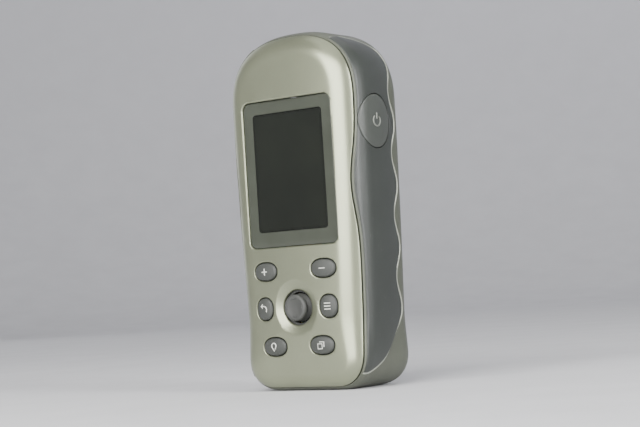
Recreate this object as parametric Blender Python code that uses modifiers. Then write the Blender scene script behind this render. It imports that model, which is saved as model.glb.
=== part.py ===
"""Handheld GPS receiver, bar type, as an assembly of separate pieces.

Metres, +Z up. The unit stands on its flat bottom at Z = 0, its display faces
-Y, and +X is on the viewer's right. Helper dimensions below are millimetres.
"""
import bpy
import bmesh
import math
from mathutils import Vector

for ob in list(bpy.data.objects):
    bpy.data.objects.remove(ob, do_unlink=True)

MM = 0.001

# ---- driving dimensions, millimetres -------------------------------------
HEIGHT = 117.0          # overall height of the body
HALF_W = 26.5           # half width at the widest place
HALF_D = 15.5           # half depth of the body
EDGE_R = 9.0            # roll of the front and rear edges
EDGE_R_BOTTOM = 6.0     # the same roll at the bottom
TOP_SPRING = 93.0       # height at which the domed top starts
TOP_EXP = 2.5           # squareness of the domed top
BOTTOM_FLAT = 13.0      # half width of the flat that it stands on
BOTTOM_X, BOTTOM_Z = 24.5, 12.0   # where the bottom corner meets the side
SIDE_BELLY = 1.6        # how the side eases in towards the bottom

FRONT_T = 1.8           # wall of the front shell
REAR_T = 2.6            # wall of the rear shell
GRIP_T = 1.2            # thickness of the rubber grips
GRIP_GAP = 0.2          # gap under the grips
LIP = 0.9               # strip of shell between the parting line and the grip
GRIP_Y0, GRIP_WAVE, GRIP_PERIOD, GRIP_CREST = 6.6, 1.4, 20.0, 85.0

LENS_W, LENS_Z0, LENS_Z1, LENS_R = 36.0, 47.0, 95.0, 2.6
LENS_Y = -14.85         # outer face of the lens
LENS_T = 1.0
MASK_W, MASK_Z0, MASK_Z1 = 28.4, 52.0, 91.0

BTN_Y, BTN_Z = -3.1, 85.4                 # power button on the +X side
BTN_A, BTN_B = 7.5, 8.7                   # its half width and half height
BTN_TRAVEL = 0.6
KEY_TRAVEL = 0.5
STICK_Z = 27.0
STICK_Y = -9.4          # pivot of the thumb stick

DOOR_W, DOOR_Z0, DOOR_Z1 = 15.9, 5.6, 82.0
HINGE_Y, HINGE_Z = 15.5, 82.0
LATCH_Z = 13.5
PORT_W, PORT_Z0, PORT_Z1 = 7.0, 87.5, 96.5

CELL_R, CELL_L, CELL_X, CELL_Y = 7.25, 50.5, 7.6, 5.7
BAY_X, BAY_Z0, BAY_Z1 = 15.05, 20.5, 77.5
BAY_FLOOR_Y = -1.9
RIM_Y = 12.7

SCREW_X = 18.7
SCREW_ZS = (20.0, 99.0)

# ---- collections and materials -------------------------------------------
scene = bpy.context.scene
PARTS = bpy.data.collections.new("handheld_gps_unit")
CUTS = bpy.data.collections.new("cutters")
scene.collection.children.link(PARTS)
scene.collection.children.link(CUTS)


def material(name, rgb, rough, metal=0.0):
    m = bpy.data.materials.new(name)
    m.use_nodes = True
    b = m.node_tree.nodes["Principled BSDF"]
    b.inputs["Base Color"].default_value = (*rgb, 1.0)
    b.inputs["Roughness"].default_value = rough
    b.inputs["Metallic"].default_value = metal
    m.diffuse_color = (*rgb, 1.0)
    return m


M_FRONT = material("silver_front_plastic", (0.46, 0.47, 0.40), 0.36, 0.35)
M_REAR = material("olive_rear_plastic", (0.10, 0.105, 0.085), 0.45, 0.1)
M_GRIP = material("grip_rubber", (0.045, 0.046, 0.044), 0.78)
M_BUTTON = material("button_rubber", (0.055, 0.057, 0.053), 0.7)
M_LENS = material("display_window", (0.030, 0.032, 0.028), 0.12)
M_MASK = material("mask_ink", (0.10, 0.105, 0.095), 0.5)
M_FOAM = material("foam", (0.03, 0.03, 0.03), 0.95)
M_LCD = material("lcd_glass", (0.05, 0.055, 0.045), 0.2)
M_WHITE = material("backlight_plastic", (0.75, 0.75, 0.72), 0.5)
M_PCB = material("circuit_board", (0.02, 0.12, 0.05), 0.45)
M_CHIP = material("chip_epoxy", (0.02, 0.02, 0.02), 0.5)
M_TIN = material("tinned_steel", (0.62, 0.62, 0.60), 0.32, 1.0)
M_STEEL = material("stainless_steel", (0.56, 0.55, 0.53), 0.28, 1.0)
M_SPRING = material("spring_steel", (0.50, 0.49, 0.47), 0.3, 1.0)
M_SILICONE = material("silicone", (0.09, 0.09, 0.085), 0.65)
M_KEY = material("key_rubber", (0.06, 0.062, 0.058), 0.6)
M_CERAMIC = material("antenna_ceramic", (0.55, 0.45, 0.32), 0.6)
M_FLEX = material("polyimide", (0.45, 0.22, 0.04), 0.4)
M_CELL = material("cell_sleeve", (0.12, 0.22, 0.30), 0.35, 0.2)
M_DOOR = material("door_plastic", (0.085, 0.09, 0.072), 0.5, 0.1)
M_CABLE = material("coax_jacket", (0.03, 0.03, 0.03), 0.5)


# ---- building helpers ------------------------------------------------------
def finish_mesh(bm, name, mat, origin=(0, 0, 0), smooth=35.0, cutter=False):
    """Turn a bmesh in millimetres into an object whose origin is given."""
    bmesh.ops.recalc_face_normals(bm, faces=bm.faces)
    if bm.calc_volume(signed=True) < 0.0:
        bmesh.ops.reverse_faces(bm, faces=bm.faces)
    o = Vector(origin) * MM
    for v in bm.verts:
        v.co = v.co * MM - o
    me = bpy.data.meshes.new(name)
    bm.to_mesh(me)
    bm.free()
    ob = bpy.data.objects.new(name, me)
    ob.location = o
    if cutter:
        CUTS.objects.link(ob)
        ob.hide_render = True
        ob.display_type = "WIRE"
    else:
        PARTS.objects.link(ob)
        me.materials.append(mat)
        if smooth:
            me.shade_smooth()
            me.set_sharp_from_angle(angle=math.radians(smooth))
    return ob


def box(name, x0, x1, y0, y1, z0, z1, mat=None, bevel=0.0, segs=2, origin=None,
        cutter=False):
    bm = bmesh.new()
    bmesh.ops.create_cube(bm, size=1.0)
    for v in bm.verts:
        v.co = Vector((x0 + (v.co.x + 0.5) * (x1 - x0),
                       y0 + (v.co.y + 0.5) * (y1 - y0),
                       z0 + (v.co.z + 0.5) * (z1 - z0)))
    if origin is None:
        origin = ((x0 + x1) / 2, (y0 + y1) / 2, (z0 + z1) / 2)
    ob = finish_mesh(bm, name, mat, origin, cutter=cutter)
    if bevel:
        b = ob.modifiers.new("edges", "BEVEL")
        b.width = bevel * MM
        b.segments = segs
        b.limit_method = "ANGLE"
    return ob


def cyl(name, axis, c, r, length, mat=None, segs=24, r2=None, bevel=0.0,
        origin=None, cutter=False):
    """A cylinder or cone about X, Y or Z, centred on c."""
    bm = bmesh.new()
    bmesh.ops.create_cone(bm, cap_ends=True, cap_tris=False, segments=segs,
                          radius1=r, radius2=r if r2 is None else r2,
                          depth=length)
    for v in bm.verts:
        x, y, z = v.co
        if axis == "X":
            v.co = Vector((z, x, y))
        elif axis == "Y":
            v.co = Vector((y, z, x))
        v.co += Vector(c)
    ob = finish_mesh(bm, name, mat, origin or c, cutter=cutter)
    if bevel:
        b = ob.modifiers.new("edges", "BEVEL")
        b.width = bevel * MM
        b.segments = 2
        b.limit_method = "ANGLE"
        b.angle_limit = math.radians(50)
    return ob


def rounded_rect(hx, z0, z1, r, n=4, cx=0.0):
    """Corner-rounded outline in X and Z, anticlockwise seen from -Y."""
    pts = []
    for qx, qz, a0 in ((cx + hx - r, z0 + r, -90), (cx + hx - r, z1 - r, 0),
                       (cx - hx + r, z1 - r, 90), (cx - hx + r, z0 + r, 180)):
        for k in range(n + 1):
            a = math.radians(a0 + 90.0 * k / n)
            pts.append((qx + r * math.cos(a), qz + r * math.sin(a)))
    return pts


def plate(name, outline, y0, y1, mat=None, origin=None, bevel=0.0, cutter=False):
    """A flat outline in X and Z, drawn out from y0 to y1."""
    bm = bmesh.new()
    f = bm.faces.new([bm.verts.new((x, y0, z)) for x, z in outline])
    ext = bmesh.ops.extrude_face_region(bm, geom=[f])
    for g in ext["geom"]:
        if isinstance(g, bmesh.types.BMVert):
            g.co.y = y1
    if origin is None:
        xs = [p[0] for p in outline]
        zs = [p[1] for p in outline]
        origin = ((min(xs) + max(xs)) / 2, (y0 + y1) / 2, (min(zs) + max(zs)) / 2)
    ob = finish_mesh(bm, name, mat, origin, cutter=cutter)
    if bevel:
        b = ob.modifiers.new("edges", "BEVEL")
        b.width = bevel * MM
        b.segments = 1
        b.limit_method = "ANGLE"
        b.angle_limit = math.radians(60)
    return ob


def loft(name, rings, mat=None, origin=(0, 0, 0), cutter=False, smooth=35.0):
    """Closed loops of equal count joined in turn, with a face on each end."""
    bm = bmesh.new()
    vr = [[bm.verts.new(p) for p in ring] for ring in rings]
    n = len(vr[0])
    for a, b in zip(vr, vr[1:]):
        for i in range(n):
            j = (i + 1) % n
            bm.faces.new((a[i], a[j], b[j], b[i]))
    bm.faces.new(vr[0])
    bm.faces.new(list(reversed(vr[-1])))
    return finish_mesh(bm, name, mat, origin, smooth=smooth, cutter=cutter)


def boolean(ob, tool, op="DIFFERENCE"):
    m = ob.modifiers.new(op.lower(), "BOOLEAN")
    m.operation = op
    m.solver = "EXACT"
    m.object = tool


def cut(ob, *tools):
    for t in tools:
        boolean(ob, t)


def join(ob, *tools):
    """Boolean union with pieces that are then kept out of the model."""
    for t in tools:
        if t.name in PARTS.objects:
            PARTS.objects.unlink(t)
            CUTS.objects.link(t)
            t.hide_render = True
            t.display_type = "WIRE"
        boolean(ob, t, "UNION")


# ---- the body's surface ----------------------------------------------------
def half_outline(u):
    """Right half of the front view. u: -1..0 bottom flat, 0..1 bottom corner,
    1..2 side, 2..3 domed top."""
    if u <= 0.0:
        return (BOTTOM_FLAT * (u + 1.0), 0.0)
    if u <= 1.0:
        t = math.radians(90.0 * (1.0 - u))
        e = 2.0 / 2.2
        return (BOTTOM_FLAT + (BOTTOM_X - BOTTOM_FLAT) * math.cos(t) ** e,
                BOTTOM_Z - BOTTOM_Z * math.sin(t) ** e)
    if u <= 2.0:
        z = BOTTOM_Z + (TOP_SPRING - BOTTOM_Z) * (u - 1.0)
        f = (TOP_SPRING - z) / (TOP_SPRING - BOTTOM_Z)
        return (HALF_W - (HALF_W - BOTTOM_X) * f ** SIDE_BELLY, z)
    t = math.radians(90.0 * (u - 2.0))
    e = 2.0 / TOP_EXP
    return (HALF_W * max(math.cos(t), 0.0) ** e,
            TOP_SPRING + (HEIGHT - TOP_SPRING) * math.sin(t) ** e)


def outline_normal(u):
    h = 1e-3
    a = half_outline(max(u - h, -1.0))
    b = half_outline(min(u + h, 3.0))
    dx, dz = b[0] - a[0], b[1] - a[1]
    n = math.hypot(dx, dz) or 1.0
    if u <= -0.999:
        return (0.0, -1.0)
    if u >= 2.999:
        return (0.0, 1.0)
    return (dz / n, -dx / n)


def edge_radius(z):
    t = min(max((z - 3.0) / 22.0, 0.0), 1.0)
    t = t * t * (3 - 2 * t)
    return EDGE_R_BOTTOM + (EDGE_R - EDGE_R_BOTTOM) * t


def surface(u, side, v, off=0.0):
    """Point on the body. side is +1 or -1. v runs 0 at the front edge roll's
    start, 1 where it meets the side, 2 at the side's rear, 3 at the rear face.
    off moves it out (+) or in (-) along the surface normal."""
    x, z = half_outline(u)
    nx, nz = outline_normal(u)
    r = edge_radius(z)
    flat = HALF_D - r
    if v <= 1.0:
        a = math.radians(90.0 * (1.0 - v))
        d, y, co, so = r * (1 - math.cos(a)), -flat - r * math.sin(a), math.cos(a), -math.sin(a)
    elif v <= 2.0:
        d, y, co, so = 0.0, -flat + 2 * flat * (v - 1.0), 1.0, 0.0
    else:
        b = math.radians(90.0 * (v - 2.0))
        d, y, co, so = r * (1 - math.cos(b)), flat + r * math.sin(b), math.cos(b), math.sin(b)
    d -= off * co
    y += off * so
    return (side * (x - nx * d), y, z - nz * d)


def parting(z):
    """v of the parting line between the shells: 36 degrees round the edge roll
    near the top, bowing forward beside the display's lower half."""
    bow = math.exp(-((z - 66.0) / 13.0) ** 2)
    return 1.0 - (36.0 + 16.0 * min(bow, 1.0)) / 90.0


def grip_rear_y(z):
    return GRIP_Y0 + GRIP_WAVE * math.cos(2 * math.pi * (z - GRIP_CREST) / GRIP_PERIOD)


def v_of_rear_y(z, y):
    r = edge_radius(z)
    flat = HALF_D - r
    if y <= flat:
        return 1.0 + (y + flat) / (2 * flat)
    return 2.0 + math.degrees(math.asin(min((y - flat) / r, 1.0))) / 90.0


US = ([-1.0, 0.0] + [k / 5.0 for k in range(1, 6)]
      + [1.0 + k / 7.0 for k in range(1, 8)]
      + [2.0 + k / 9.0 for k in range(1, 9)] + [3.0])


def body_ring(vfun, off):
    """A whole loop round the body; vfun gives v for each height."""
    right, left = [], []
    for u in US:
        z = half_outline(u)[1]
        v = vfun(z)
        right.append(surface(u, 1, v, off))
        left.append(surface(u, -1, v, off))
    return right + list(reversed(left[1:-1]))


# ---- front shell -----------------------------------------------------------
GAP_V = 0.3 / (EDGE_R * math.pi / 2)
f_rings = [body_ring(lambda z, t=t: parting(z) * t, 0.0) for t in (0.0, 0.25, 0.5, 0.75, 1.0)]
f_rings += [body_ring(lambda z, t=t: parting(z) * t, -FRONT_T) for t in (1.0, 0.5, 0.0)]
front = loft("front_housing", f_rings, M_FRONT)

join(front, box("lens_frame", -20.0, 20.0, -14.6, -12.3, 44.4, 97.6, cutter=True))
for i, sx in enumerate((-1, 1)):
    for z in SCREW_ZS:
        join(front, cyl("front_boss", "Y", (sx * SCREW_X, -9.9, z), 1.9, 8.4, segs=20, cutter=True))
        cut(front, cyl("front_pilot", "Y", (sx * SCREW_X, -8.0, z), 1.0, 7.0, segs=12, cutter=True))
    join(front, cyl("board_post", "Y", (sx * 18.9, -10.5, 60.0), 1.5, 7.4, segs=16, cutter=True))
    cut(front, cyl("post_pilot", "Y", (sx * 18.9, -8.0, 60.0), 0.75, 4.0, segs=10, cutter=True))

lens_out = rounded_rect(LENS_W / 2, LENS_Z0, LENS_Z1, LENS_R)
seat_out = rounded_rect(LENS_W / 2 + 0.3, LENS_Z0 - 0.3, LENS_Z1 + 0.3, LENS_R + 0.3)
view_out = rounded_rect(MASK_W / 2 + 0.8, MASK_Z0 - 0.8, MASK_Z1 + 0.8, 1.5)
cut(front, plate("lens_seat", seat_out, -18.0, -12.95, cutter=True),
    plate("lens_window", view_out, -14.0, -11.0, cutter=True))

# keys: name, x, z, half width, half height
KEYS = (("key_zoom_in", -11.8, 39.2, 4.6, 2.9), ("key_zoom_out", 11.8, 39.2, 4.6, 2.9),
        ("key_back", -13.0, 27.0, 3.3, 3.6), ("key_menu", 13.0, 27.0, 3.3, 3.6),
        ("key_mark", -9.6, 14.6, 4.6, 2.9), ("key_page", 9.6, 14.6, 4.6, 2.9))


def oval(cx, cz, a, b, y, n=16, e=2.3):
    pts = []
    for k in range(n):
        t = 2 * math.pi * k / n
        c, s = math.cos(t), math.sin(t)
        pts.append((cx + a * math.copysign(abs(c) ** (2 / e), c), y,
                    cz + b * math.copysign(abs(s) ** (2 / e), s)))
    return pts


for kname, kx, kz, ka, kb in KEYS:
    loft(kname, [oval(kx, kz, ka * 0.72, kb * 0.68, -16.2),
                 oval(kx, kz, ka * 0.93, kb * 0.91, -16.0),
                 oval(kx, kz, ka, kb, -15.6),
                 oval(kx, kz, ka, kb, -13.25),
                 oval(kx, kz, ka + 0.9, kb + 0.9, -13.25),
                 oval(kx, kz, ka + 0.9, kb + 0.9, -12.7)],
         M_KEY, origin=(kx, -14.5, kz))
    cut(front, loft("key_hole", [oval(kx, kz, ka + 0.35, kb + 0.35, -18.0),
                                 oval(kx, kz, ka + 0.35, kb + 0.35, -12.0)], cutter=True))
cut(front, cyl("stick_hole", "Y", (0, -15.0, STICK_Z), 5.8, 6.0, segs=28, cutter=True))

# ---- rear shell ------------------------------------------------------------
def side_oval(name, grow, n):
    """The power button's oval outline, drawn out along X through the +X wall."""
    ring = [(BTN_Y + (BTN_A + grow) * math.cos(2 * math.pi * k / n),
             BTN_Z + (BTN_B + grow) * math.sin(2 * math.pi * k / n)) for k in range(n)]
    return loft(name, [[(x, y, z) for y, z in ring] for x in (20.0, 29.0)], cutter=True)


r_rings = [body_ring(lambda z, v=v: v, 0.0) for v in (3.0, 2.75, 2.5, 2.25, 2.0)]
r_rings += [body_ring(lambda z, t=t: (parting(z) + GAP_V) * (1 - t) + t, 0.0) for t in (1.0, 0.5, 0.0)]
r_rings += [body_ring(lambda z, t=t: (parting(z) + GAP_V) * (1 - t) + t, -REAR_T) for t in (0.0, 1.0)]
r_rings += [body_ring(lambda z, v=v: v, -REAR_T) for v in (2.0, 2.5, 3.0)]
rear = loft("rear_housing", r_rings, M_REAR)

join(rear,
     box("bay_block", -16.5, 16.5, -3.1, 14.0, BAY_Z0 - 1.2, BAY_Z1 + 1.4, cutter=True),
     box("latch_block", -16.4, 16.4, 9.0, 14.1, 6.2, BAY_Z0 - 1.0, cutter=True))
for sx in (-1, 1):
    for z in SCREW_ZS:
        join(rear, cyl("rear_boss", "Y", (sx * SCREW_X, 4.05, z), 2.9, 17.7, segs=20, cutter=True))
cut(rear,
    box("bay_space", -BAY_X, BAY_X, BAY_FLOOR_Y, 22.0, BAY_Z0, BAY_Z1, cutter=True),
    box("latch_space", -14.6, 14.6, 10.4, 22.0, 7.6, BAY_Z0 - 2.0, cutter=True),
    plate("door_opening", rounded_rect(DOOR_W + 0.3, DOOR_Z0 - 0.3, DOOR_Z1 + 0.3, 2.3),
          RIM_Y, 22.0, cutter=True),
    plate("port_opening", rounded_rect(PORT_W + 0.3, PORT_Z0 - 0.3, PORT_Z1 + 0.3, 1.3),
          9.0, 22.0, cutter=True),
    side_oval("button_hole", 0.25, 28))
for sx in (-1, 1):
    cut(rear, box("tab_pocket", sx * 9 - 2.7, sx * 9 + 2.7, 11.5, 13.45, 81.0, 85.2, cutter=True))
    for z in SCREW_ZS:
        cut(rear, cyl("screw_well", "Y", (sx * SCREW_X, 9.0, z), 1.9, 20.0, segs=20, cutter=True),
            cyl("screw_hole", "Y", (sx * SCREW_X, -3.0, z), 1.0, 8.0, segs=12, cutter=True))

# ---- rubber grips, inlaid in the rear shell --------------------------------
GRIP_U0, GRIP_U1 = 0.45, 2.62


def grip_rows(u, grow, n_front, n_side, n_rear):
    """v values across the grip at u; it closes to a point at both ends."""
    x, z = half_outline(u)
    r = edge_radius(z)
    vf = parting(z) + LIP / (r * math.pi / 2)
    y_mid = -HALF_D + r - r * math.sin(math.radians(90 * (1 - vf)))
    y_end = grip_rear_y(z)
    f = (u - GRIP_U0) / (GRIP_U1 - GRIP_U0)
    ease = min(1.0, (1.0 - f) / 0.20, f / 0.20)
    ease = max(ease, 0.0) ** 0.6
    y_r = y_mid + 1.0 + (y_end - y_mid - 1.0) * ease + grow
    vf -= grow / (r * math.pi / 2)
    vr = v_of_rear_y(z, y_r) if y_r > -HALF_D + r else 1.0 - math.degrees(
        math.asin(min((-HALF_D + r - y_r) / r, 1.0))) / 90.0
    knots = [vf + (vr - vf) * k / 7.0 for k in range(8)]
    return knots


def grip_loft(name, side, grow, out, inn, n, mat=None, cutter=False):
    rings = []
    du = grow / 60.0
    for i in range(n + 1):
        u = GRIP_U0 - du + (GRIP_U1 - GRIP_U0 + 2 * du) * i / n
        rows = grip_rows(min(max(u, GRIP_U0), GRIP_U1), grow, 3, 2, 2)
        ring = [surface(u, side, v, out) for v in rows]
        ring += [surface(u, side, v, inn) for v in reversed(rows)]
        rings.append(ring)
    return loft(name, rings, mat, cutter=cutter)


for side, gname in ((1, "right_grip"), (-1, "left_grip")):
    cut(rear, grip_loft("grip_pocket", side, 0.3, 2.0, -(GRIP_T + GRIP_GAP), 20, cutter=True))
    g = grip_loft(gname, side, 0.0, 0.0, -GRIP_T, 20, M_GRIP)
    if side == 1:
        cut(g, side_oval("grip_hole", 0.25, 28))

# ---- power button: a disc with the side's own curve, and a plunger ---------
btn = grip_loft("power_button", 1, 0.0, 0.0, -2.0, 20, M_BUTTON)
boolean(btn, side_oval("button_disc", 0.0, 28), "INTERSECT")
join(btn, cyl("button_dot", "X", (26.45, BTN_Y, BTN_Z), 1.6, 0.9, segs=20, cutter=True),
     cyl("button_plunger", "X", (23.6, BTN_Y, BTN_Z), 2.0, 3.0, segs=20, cutter=True))

# ---- seal between the shells -----------------------------------------------
def ring_tube(name, centre_fn, r, mat, n=6):
    """A cord of radius r that follows a closed loop inside the body."""
    c = bpy.data.curves.new(name, "CURVE")
    c.dimensions = "3D"
    pts = centre_fn
    s = c.splines.new("POLY")
    s.points.add(len(pts) - 1)
    for p, q in zip(s.points, pts):
        p.co = (q[0] * MM, q[1] * MM, q[2] * MM, 1.0)
    s.use_cyclic_u = True
    c.bevel_depth = r * MM
    c.bevel_resolution = 0
    ob = bpy.data.objects.new(name, c)
    PARTS.objects.link(ob)
    c.materials.append(mat)
    return ob


ring_tube("housing_seal", body_ring(lambda z: parting(z) - 0.06, -(FRONT_T + 0.6)), 0.28, M_SILICONE)

# ---- display ---------------------------------------------------------------
plate("display_lens", lens_out, LENS_Y, LENS_Y + LENS_T, M_LENS, bevel=0.15)
mask = plate("display_mask", rounded_rect(LENS_W / 2 - 0.1, LENS_Z0 + 0.1, LENS_Z1 - 0.1, LENS_R),
             -13.75, -13.50, M_MASK)
cut(mask, plate("mask_window", rounded_rect(MASK_W / 2, MASK_Z0, MASK_Z1, 1.0), -15.0, -12.0, cutter=True))
gask = plate("display_gasket", rounded_rect(LENS_W / 2 - 0.3, LENS_Z0 + 0.3, LENS_Z1 - 0.3, LENS_R),
             -13.40, -13.05, M_FOAM)
cut(gask, plate("gasket_window", rounded_rect(MASK_W / 2 + 0.8, MASK_Z0 - 0.8, MASK_Z1 + 0.8, 1.2),
                -15.0, -12.0, cutter=True))
box("lcd_panel", -17.2, 17.2, -12.15, -10.9, 48.3, 93.7, M_LCD)
box("lcd_backlight", -17.0, 17.0, -10.75, -8.5, 48.6, 93.5, M_WHITE, bevel=0.3, segs=1)


def ribbon(name, path, t, x0, x1, mat):
    """A strip of thickness t that follows a path in Y and Z, across x0..x1."""
    n = len(path)
    left, right = [], []
    for i, (y, z) in enumerate(path):
        a = path[max(i - 1, 0)]
        b = path[min(i + 1, n - 1)]
        dy, dz = b[0] - a[0], b[1] - a[1]
        k = math.hypot(dy, dz)
        ny, nz = -dz / k * t / 2, dy / k * t / 2
        left.append((y + ny, z + nz))
        right.append((y - ny, z - nz))
    loop = left + right[::-1]
    bm = bmesh.new()
    f = bm.faces.new([bm.verts.new((x0, y, z)) for y, z in loop])
    ext = bmesh.ops.extrude_face_region(bm, geom=[f])
    for g in ext["geom"]:
        if isinstance(g, bmesh.types.BMVert):
            g.co.x = x1
    return finish_mesh(bm, name, mat, ((x0 + x1) / 2, path[n // 2][0], path[n // 2][1]))


# folded flex from the panel's lower edge, behind the backlight
ribbon("lcd_flex_cable",
       [(-11.6, 48.0)] + [(-9.6 - 2.0 * math.cos(math.radians(a)), 47.6 - 1.3 * math.sin(math.radians(a)))
                          for a in range(0, 181, 20)] + [(-7.6, 50.0), (-7.5, 56.0)],
       0.22, -6.0, 6.0, M_FLEX)

# ---- main board and what it carries ----------------------------------------
board = box("main_board", -21.2, 21.2, -6.6, -5.4, 16.0, 95.6, M_PCB)
for sx in (-1, 1):
    for z in SCREW_ZS:
        cut(board, cyl("board_notch", "Y", (sx * (SCREW_X + 0.4), -6.0, z), 3.6, 4.0, segs=20, cutter=True))
    cut(board, cyl("board_hole", "Y", (sx * 18.9, -6.0, 60.0), 0.75, 4.0, segs=10, cutter=True))
box("processor_chip", -7.0, 7.0, -5.3, -4.1, 50.0, 64.0, M_CHIP, bevel=0.2, segs=1)
box("memory_chip", -6.0, 6.0, -5.3, -4.2, 34.0, 42.0, M_CHIP, bevel=0.2, segs=1)
shield = box("receiver_shield", -9.0, 9.0, -5.3, -2.6, 81.5, 94.5, M_TIN, bevel=0.25, segs=1)
cut(shield, *[cyl("vent", "Y", (x, -2.6, z), 0.8, 1.2, segs=10, cutter=True)
              for x in (-4.5, 0.0, 4.5) for z in (85.0, 91.0)])
cyl("beeper", "Y", (-14.0, -4.0, 87.5), 4.0, 2.4, M_CHIP, segs=20)
cyl("backup_cell", "Y", (11.0, -4.35, 70.0), 4.8, 1.7, M_STEEL, segs=24)
box("power_switch", 16.8, 20.6, -5.2, -1.2, 83.2, 88.8, M_CHIP, bevel=0.3, segs=1)

# ---- keypad ----------------------------------------------------------------
pad_out = rounded_rect(16.6, 8.6, 43.4, 3.0)
membrane = plate("keypad_membrane", pad_out, -11.95, -11.35, M_SILICONE)
for kname, kx, kz, ka, kb in KEYS:
    join(membrane, cyl("pad", "Y", (kx, -11.2, kz), 2.0, 0.9, segs=14, cutter=True))
domes = plate("dome_sheet", rounded_rect(15.6, 9.4, 42.6, 2.4), -10.60, -10.45, M_STEEL)
kboard = plate("keypad_board", rounded_rect(16.0, 9.0, 43.0, 2.6), -10.30, -9.50, M_PCB)
for ob in (membrane, domes, kboard):
    cut(ob, cyl("stick_clear", "Y", (0, -10.8, STICK_Z), 5.4, 4.0, segs=28, cutter=True))

# ---- thumb stick: base, gimbal ring and stick ------------------------------
jbase = box("joystick_base", -6.6, 6.6, -9.3, -6.9, STICK_Z - 6.6, STICK_Z + 6.6, M_CHIP, bevel=0.3, segs=1,
            origin=(0, STICK_Y, STICK_Z))
cut(jbase, cyl("base_well", "Y", (0, -9.3, STICK_Z), 4.9, 3.0, segs=28, cutter=True))
gimbal = cyl("joystick_gimbal", "Y", (0, STICK_Y, STICK_Z), 3.4, 1.2, M_STEEL, segs=24)
join(gimbal, cyl("trunnion", "X", (0, STICK_Y, STICK_Z), 0.45, 8.6, segs=12, cutter=True))
cut(gimbal, cyl("gimbal_bore", "Y", (0, STICK_Y, STICK_Z), 2.3, 3.0, segs=20, cutter=True))
stick_pts = ((0.0, -16.50), (2.6, -16.42), (3.9, -16.1), (4.3, -15.6), (4.2, -15.1),
             (3.4, -14.8), (1.5, -14.4), (1.4, STICK_Y + 0.5), (0.0, STICK_Y + 0.5))


def turned(name, pts, centre, axis_pts, mat, steps=24, origin=None):
    """A profile of (radius, along Y) turned about the Y axis through centre."""
    bm = bmesh.new()
    vs = [bm.verts.new((r, 0.0, 0.0)) for r, y in pts]
    for v, (r, y) in zip(vs, pts):
        v.co = Vector((r, y - axis_pts, 0.0))
    for a, b in zip(vs, vs[1:]):
        bm.edges.new((a, b))
    me = bpy.data.meshes.new(name)
    for v in bm.verts:
        v.co *= MM
    bm.to_mesh(me)
    bm.free()
    ob = bpy.data.objects.new(name, me)
    ob.location = Vector(centre) * MM
    PARTS.objects.link(ob)
    me.materials.append(mat)
    s = ob.modifiers.new("turn", "SCREW")
    s.axis = "Y"
    s.steps = steps
    s.render_steps = steps
    s.use_merge_vertices = True
    s.merge_threshold = 0.00001
    s.use_normal_calculate = True
    return ob


turned("joystick_stick", stick_pts, (0, STICK_Y, STICK_Z), STICK_Y, M_KEY)

# ---- antenna at the top ----------------------------------------------------
box("antenna_board", -12.2, 12.2, -8.0, 8.0, 101.2, 102.2, M_PCB)
box("antenna_patch", -9.0, 9.0, -9.0 + 1.2, 7.8, 102.5, 106.5, M_CERAMIC, bevel=0.3, segs=1)
box("antenna_shield", -7.0, 7.0, -4.0, 5.0, 98.4, 100.9, M_TIN, bevel=0.25, segs=1)
bracket = box("antenna_bracket", -14.0, 14.0, -9.8, 9.8, 100.2, 102.8, M_CHIP, bevel=0.3, segs=1)
cut(bracket, box("bracket_inside", -12.5, 12.5, -8.3, 8.3, 98.0, 105.0, cutter=True))


def tube(name, pts, r, mat, cyclic=False, res=2):
    c = bpy.data.curves.new(name, "CURVE")
    c.dimensions = "3D"
    s = c.splines.new("POLY")
    s.points.add(len(pts) - 1)
    o = Vector(pts[0]) * MM
    for p, q in zip(s.points, pts):
        p.co = (*(Vector(q) * MM - o), 1.0)
    s.use_cyclic_u = cyclic
    c.bevel_depth = r * MM
    c.bevel_resolution = res
    c.use_fill_caps = not cyclic
    ob = bpy.data.objects.new(name, c)
    ob.location = o
    PARTS.objects.link(ob)
    c.materials.append(mat)
    return ob


cable_pts = []
for k in range(11):
    t = k / 10.0
    cable_pts.append((10.4 + 1.6 * t * t, -3.6 + 0.9 * math.sin(math.pi * t) - 1.0 * t, 100.6 - 6.0 * t))
tube("antenna_cable", cable_pts, 0.5, M_CABLE)

# ---- data socket under the port cover --------------------------------------
box("port_board", -10.0, 10.0, -2.2, 12.0, 88.6, 89.6, M_PCB)
usb = box("usb_socket", -3.85, 3.85, 4.0, 12.4, 90.0, 93.9, M_TIN, bevel=0.3, segs=1)
cut(usb, box("usb_mouth", -3.4, 3.4, 6.0, 16.0, 90.4, 93.5, cutter=True))
join(usb, box("usb_tongue", -2.6, 2.6, 5.5, 11.4, 91.7, 92.4, cutter=True))

cover = plate("port_cover", rounded_rect(PORT_W, PORT_Z0, PORT_Z1, 1.1), 13.6, 15.5, M_DOOR,
              origin=(0, HINGE_Y, PORT_Z1), bevel=0.2)
join(cover, plate("cover_plug", rounded_rect(4.6, 90.0, 94.0, 0.8), 12.9, 14.2, cutter=True))
cut(cover, cyl("cover_nail_slot", "X", (0, 15.9, PORT_Z0 + 0.6), 0.8, 6.0, segs=14, cutter=True))

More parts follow.
